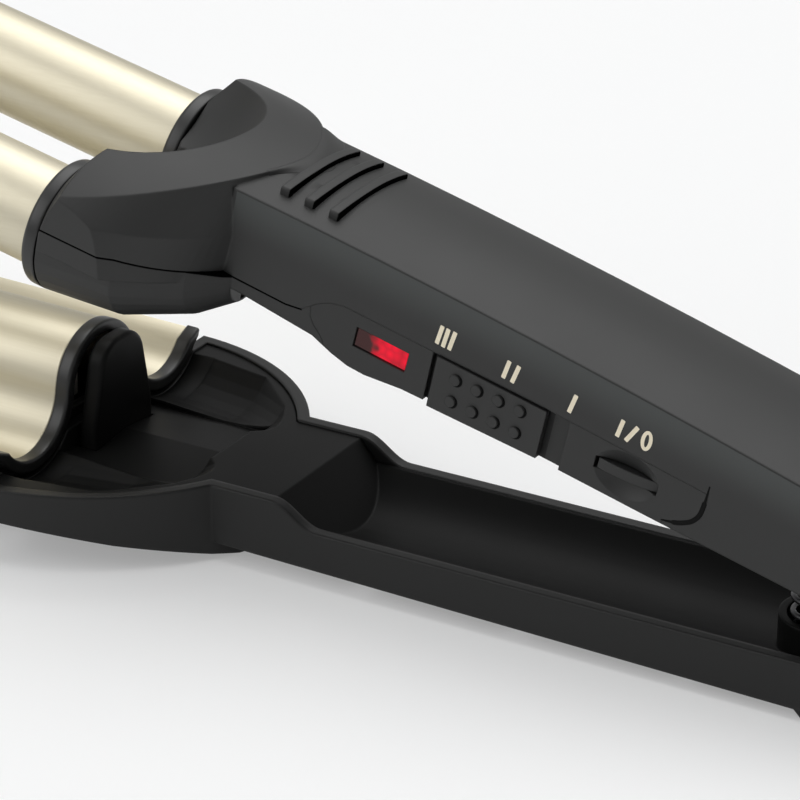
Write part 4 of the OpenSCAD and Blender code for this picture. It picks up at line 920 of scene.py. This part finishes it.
# %% [markdown]
# ## Printed marks
# The heat settings and the switch carry plain marks in a cream print: three bars, two bars, one
# bar, and a bar, a slash and a ring. They could be a picture on the casing, but that turns soft up
# close. So each stroke is a thin box of print that lies on the handle's side and stays sharp.

# %% Printed marks
PRINT_T, PRINT_LIFT, STROKE_W, STROKE_END, STROKE_ROUND = 0.05, 0.02, 0.8, 0.3, 0.16
STROKES = [
    ((73.62, 7.2), (73.95, 10.3)), ((74.87, 7.1), (75.15, 10.25)), ((76.1, 7.1), (76.5, 10.25)),
    ((86.95, 6.7), (87.35, 9.7)), ((88.72, 6.6), (89.25, 9.6)), ((100.0, 6.15), (100.5, 9.25)),
    ((109.33, 5.95), (109.7, 8.8)), ((111.1, 5.9), (112.4, 8.75)),
]
RING_AT, RING_HALF, RING_STROKE = (114.59, 7.37), (1.05, 1.91), 0.68


def print_sheet(outline, hole=None, lift=PRINT_LIFT):
    """A closed line of (x, z) points on the handle's side, given the print's thickness. A hole
    line with as many points leaves a ring between the two."""
    near, far = -HALF_W - lift - PRINT_T, -HALF_W - lift
    lines = [outline] if hole is None else [outline, hole]
    rows = [np.insert(line, 1, y, axis=1) for line, y in
            ((lines[0], far), (lines[0], near), (lines[-1], near), (lines[-1], far))]
    if hole is not None:
        return [patch(np.stack(rows), ring=True, loop=True)]
    return [patch(np.stack(rows[:2]), ring=True), lid(rows[0]), lid(rows[1])]


def stroke(start, end):
    """A slim box round the line from start to end, its corners slightly rounded."""
    start, end = np.asarray(start), np.asarray(end)
    step = (end - start) / np.linalg.norm(end - start)
    side = np.array([-step[1], step[0]]) * STROKE_W / 2
    start, end = start - step * STROKE_END, end + step * STROKE_END
    return rounded_loop([start - side, end - side, end + side, start + side], STROKE_ROUND, 4)


def cream_print():
    kit = Finish("cream print")
    wear = kit.noise(0.5, detail=4)
    return kit.shade(Base_Color=kit.mix(wear, (0.88, 0.79, 0.6), (0.95, 0.87, 0.68)),
                     Roughness=0.5 + (wear - 0.5) * 0.2)


ring_turn = np.linspace(0, 2 * math.pi, 32, endpoint=False)
ring_line = np.stack([np.cos(ring_turn), np.sin(ring_turn)], axis=1)
ring_outer = np.array(RING_AT) + ring_line * RING_HALF
ring_inner = np.array(RING_AT) + ring_line * (np.array(RING_HALF) - RING_STROKE)
marks = [piece for ends in STROKES for piece in print_sheet(stroke(*ends))]
marks += print_sheet(ring_outer, ring_inner)
make_piece("setting_marks", seated(marks, on_upper), "upper_arm", cream_print())

# %% [markdown]
# ## Painted shade round the pips
# Eight round pips stand on the heat slider. Each shows a dark crescent of shade on its lower rear
# side, as in a small hollow. A cut hollow would change the technical slider, so a thin dark ring,
# set a little off the pip's centre, paints that shade.

# %% Painted shade round the pips
PIP_X, PIP_Z, PIP_R = (78.63, 82.88, 87.13, 91.38), (-2.13, 2.13), 1.0
SHADE_RING_R, SHADE_RING_SHIFT, PIP_GAP, SLIDER_LIFT = 1.2, np.array((0.17, -0.1)), 0.01, 0.3
# Painted shade: a dark ring round each pip, shifted towards its lower rear side.
shade_rings = []
for middle in np.array([(x, z) for x in PIP_X for z in PIP_Z]):
    shade_rings += print_sheet(middle + SHADE_RING_SHIFT + ring_line * SHADE_RING_R,
                           middle + ring_line * (PIP_R + PIP_GAP), SLIDER_LIFT)
make_piece("pip_shade_rings", seated(shade_rings, on_upper), "heat_slider", deep_black)

# %% [markdown]
# ## The painted shade of the groove behind the switch plate
# The switch plate's rounded end stands clear of the casing by a groove that lies in shade. So
# narrow a groove shows no depth, and a black ribbon of painted shade looks the same without a cut.
# The groove's centre line is widened to both sides along its own normal.

# %% Groove ribbon of painted shade
GROOVE_LINE = [(127.3, 4.6), (127.2, 0.6), (127.0, -1.4), (125.9, -3.2), (123.6, -4.6),
               (120.6, -5.35)]
GROOVE_W, GROOVE_PROUD, GROOVE_SINK, GROOVE_END, GROOVE_ROUND = 0.85, 0.05, 0.3, 0.25, 2.5


def ribbon(line, width):
    """A line of (x, z) points offset by half the width to both sides, square to its direction.
    The width is full in the middle and falls along a sine to a quarter at both ends."""
    line = rounded(line, GROOVE_ROUND, 6)
    step = np.gradient(line, axis=0)
    side = np.stack([-step[:, 1], step[:, 0]], axis=1) / np.linalg.norm(step, axis=1, keepdims=True)
    taper = np.clip(4 * np.sin(np.linspace(0, math.pi, len(line))), GROOVE_END, 1)[:, None]
    away = side * taper * width / 2
    return np.concatenate([line + away, (line - away)[::-1]])


# A black ribbon paints the shade in the groove.
groove = ribbon(GROOVE_LINE, GROOVE_W)
rows = [np.insert(groove, 1, -HALF_W - lift, axis=1) for lift in (-GROOVE_SINK, GROOVE_PROUD)]
make_piece("switch_groove_shade", seated(capped(np.stack(rows)), on_upper), "upper_arm", deep_black)

# %% [markdown]
# ## Arm spring
# The coil spring between the handles is one round wire. Its end turns lie almost flat, as on a real
# compression spring. A Curve with a round bevel could draw it. Here a circle is carried along the
# helix on the helix's own cross directions, which keeps the wire from twisting. It can't follow the
# hinge as a stiff piece, and here it rides on the lower arm with a mesh of its own.

# %% Arm spring
SPRING_X, SPRING_R, WIRE_R, SPRING_TURNS = 45.0, 5.2, 0.55, 6.5
SPRING_ROWS, WIRE_SIDES = 420, 14
LAZY_AT, LAZY_RISE = [0, 0.13, 0.87, 1], [0, 0.07, 0.93, 1]
solid = nodes["arm_spring"]
corners = np.array([solid.matrix_world @ Vector(corner) for corner in solid.bound_box]) / MM
low, high = corners[:, 2].min() + WIRE_R, corners[:, 2].max() - WIRE_R


def coil():
    """Centre line: radius r, angle 2 pi n t, height low + (high - low) f(t), where f rises slowly
    in the first and last turn. A circle of the wire's radius stands square to it everywhere."""
    t = np.linspace(0, 1, SPRING_ROWS)
    lazy = np.interp(t, LAZY_AT, LAZY_RISE)
    angle = 2 * math.pi * SPRING_TURNS * t
    centre = np.stack([-SPRING_X + SPRING_R * np.cos(angle), SPRING_R * np.sin(angle),
                       low + (high - low) * lazy], axis=1)
    forward = np.gradient(centre, axis=0)
    forward /= np.linalg.norm(forward, axis=1, keepdims=True)
    out = np.stack([np.cos(angle), np.sin(angle), 0 * angle], axis=1)
    third = np.cross(forward, out)
    v = np.linspace(0, 2 * math.pi, WIRE_SIDES, endpoint=False)[:, None]
    around = np.cos(v) * out[:, None] + np.sin(v) * third[:, None]
    return capped(centre[:, None] + WIRE_R * around)


spring = make_piece("coil_spring", coil(), "lower_arm", spring_steel, ["arm_spring"])
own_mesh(spring)

# %% [markdown]
# ## Cord gland
# The cord leaves the tail through a turning gland. Only its collar and ribbed sleeve show. Rings on
# a cylinder would give the ribs, but one turned profile holds flange, collar and soft waves
# together. The photograph shows no cord, so the bore stays empty.

# %% Cord gland
TAIL_X, GLAND_START, GLAND_Z, GLAND_LEN = 208.8, 201.8, -0.6, 14.0
GLAND_BORE, GLAND_NECK, GLAND_FLANGE, GLAND_OUTER = 3.2, 5.1, 6.7, 6.1
FLANGE_AT, OUTER_AT, OUTER_EDGE = (1.6, 3.2), (0.4, 2.4), 0.3
WAVE_DEPTH, WAVE_COUNT, SLEEVE_TAPER, SLEEVE_FROM, SLEEVE_LEFT = 0.22, 4, 0.3, 2.8, 1
END_CUT_X, END_CUT_R = 0.4, 0.5


def gland_profile():
    """Bore, flange in its seat, outer collar, and a sleeve whose radius falls in shallow waves."""
    x = np.linspace(TAIL_X + SLEEVE_FROM, TAIL_X + GLAND_LEN - SLEEVE_LEFT, 49)
    share = (x - x[0]) / (x[-1] - x[0])
    waves = WAVE_DEPTH * (1 - np.cos(2 * math.pi * WAVE_COUNT * share))
    sleeve = np.stack([x, GLAND_NECK - SLEEVE_TAPER * share - waves], axis=1)
    start, end = (GLAND_START + step for step in FLANGE_AT)
    front = [(GLAND_START, GLAND_BORE), (GLAND_START, GLAND_NECK), (start, GLAND_NECK),
             (start, GLAND_FLANGE), (end, GLAND_FLANGE), (end, GLAND_NECK)]
    start, end = (TAIL_X + step for step in OUTER_AT)
    front += [(start, GLAND_NECK), (start, GLAND_OUTER - OUTER_EDGE),
              (start + OUTER_EDGE, GLAND_OUTER), (end - OUTER_EDGE, GLAND_OUTER),
              (end, GLAND_OUTER - OUTER_EDGE)]
    end = TAIL_X + GLAND_LEN
    rear = [(end - END_CUT_X, GLAND_NECK - END_CUT_R), (end, GLAND_NECK - 2 * END_CUT_R),
            (end, GLAND_BORE)]
    return np.concatenate([front, sleeve, rear])


make_piece("gland_sleeve", seated([turn(gland_profile(), 0, GLAND_Z, 64)], on_upper),
           "cord_swivel", deep_black, ["swivel_gland"])
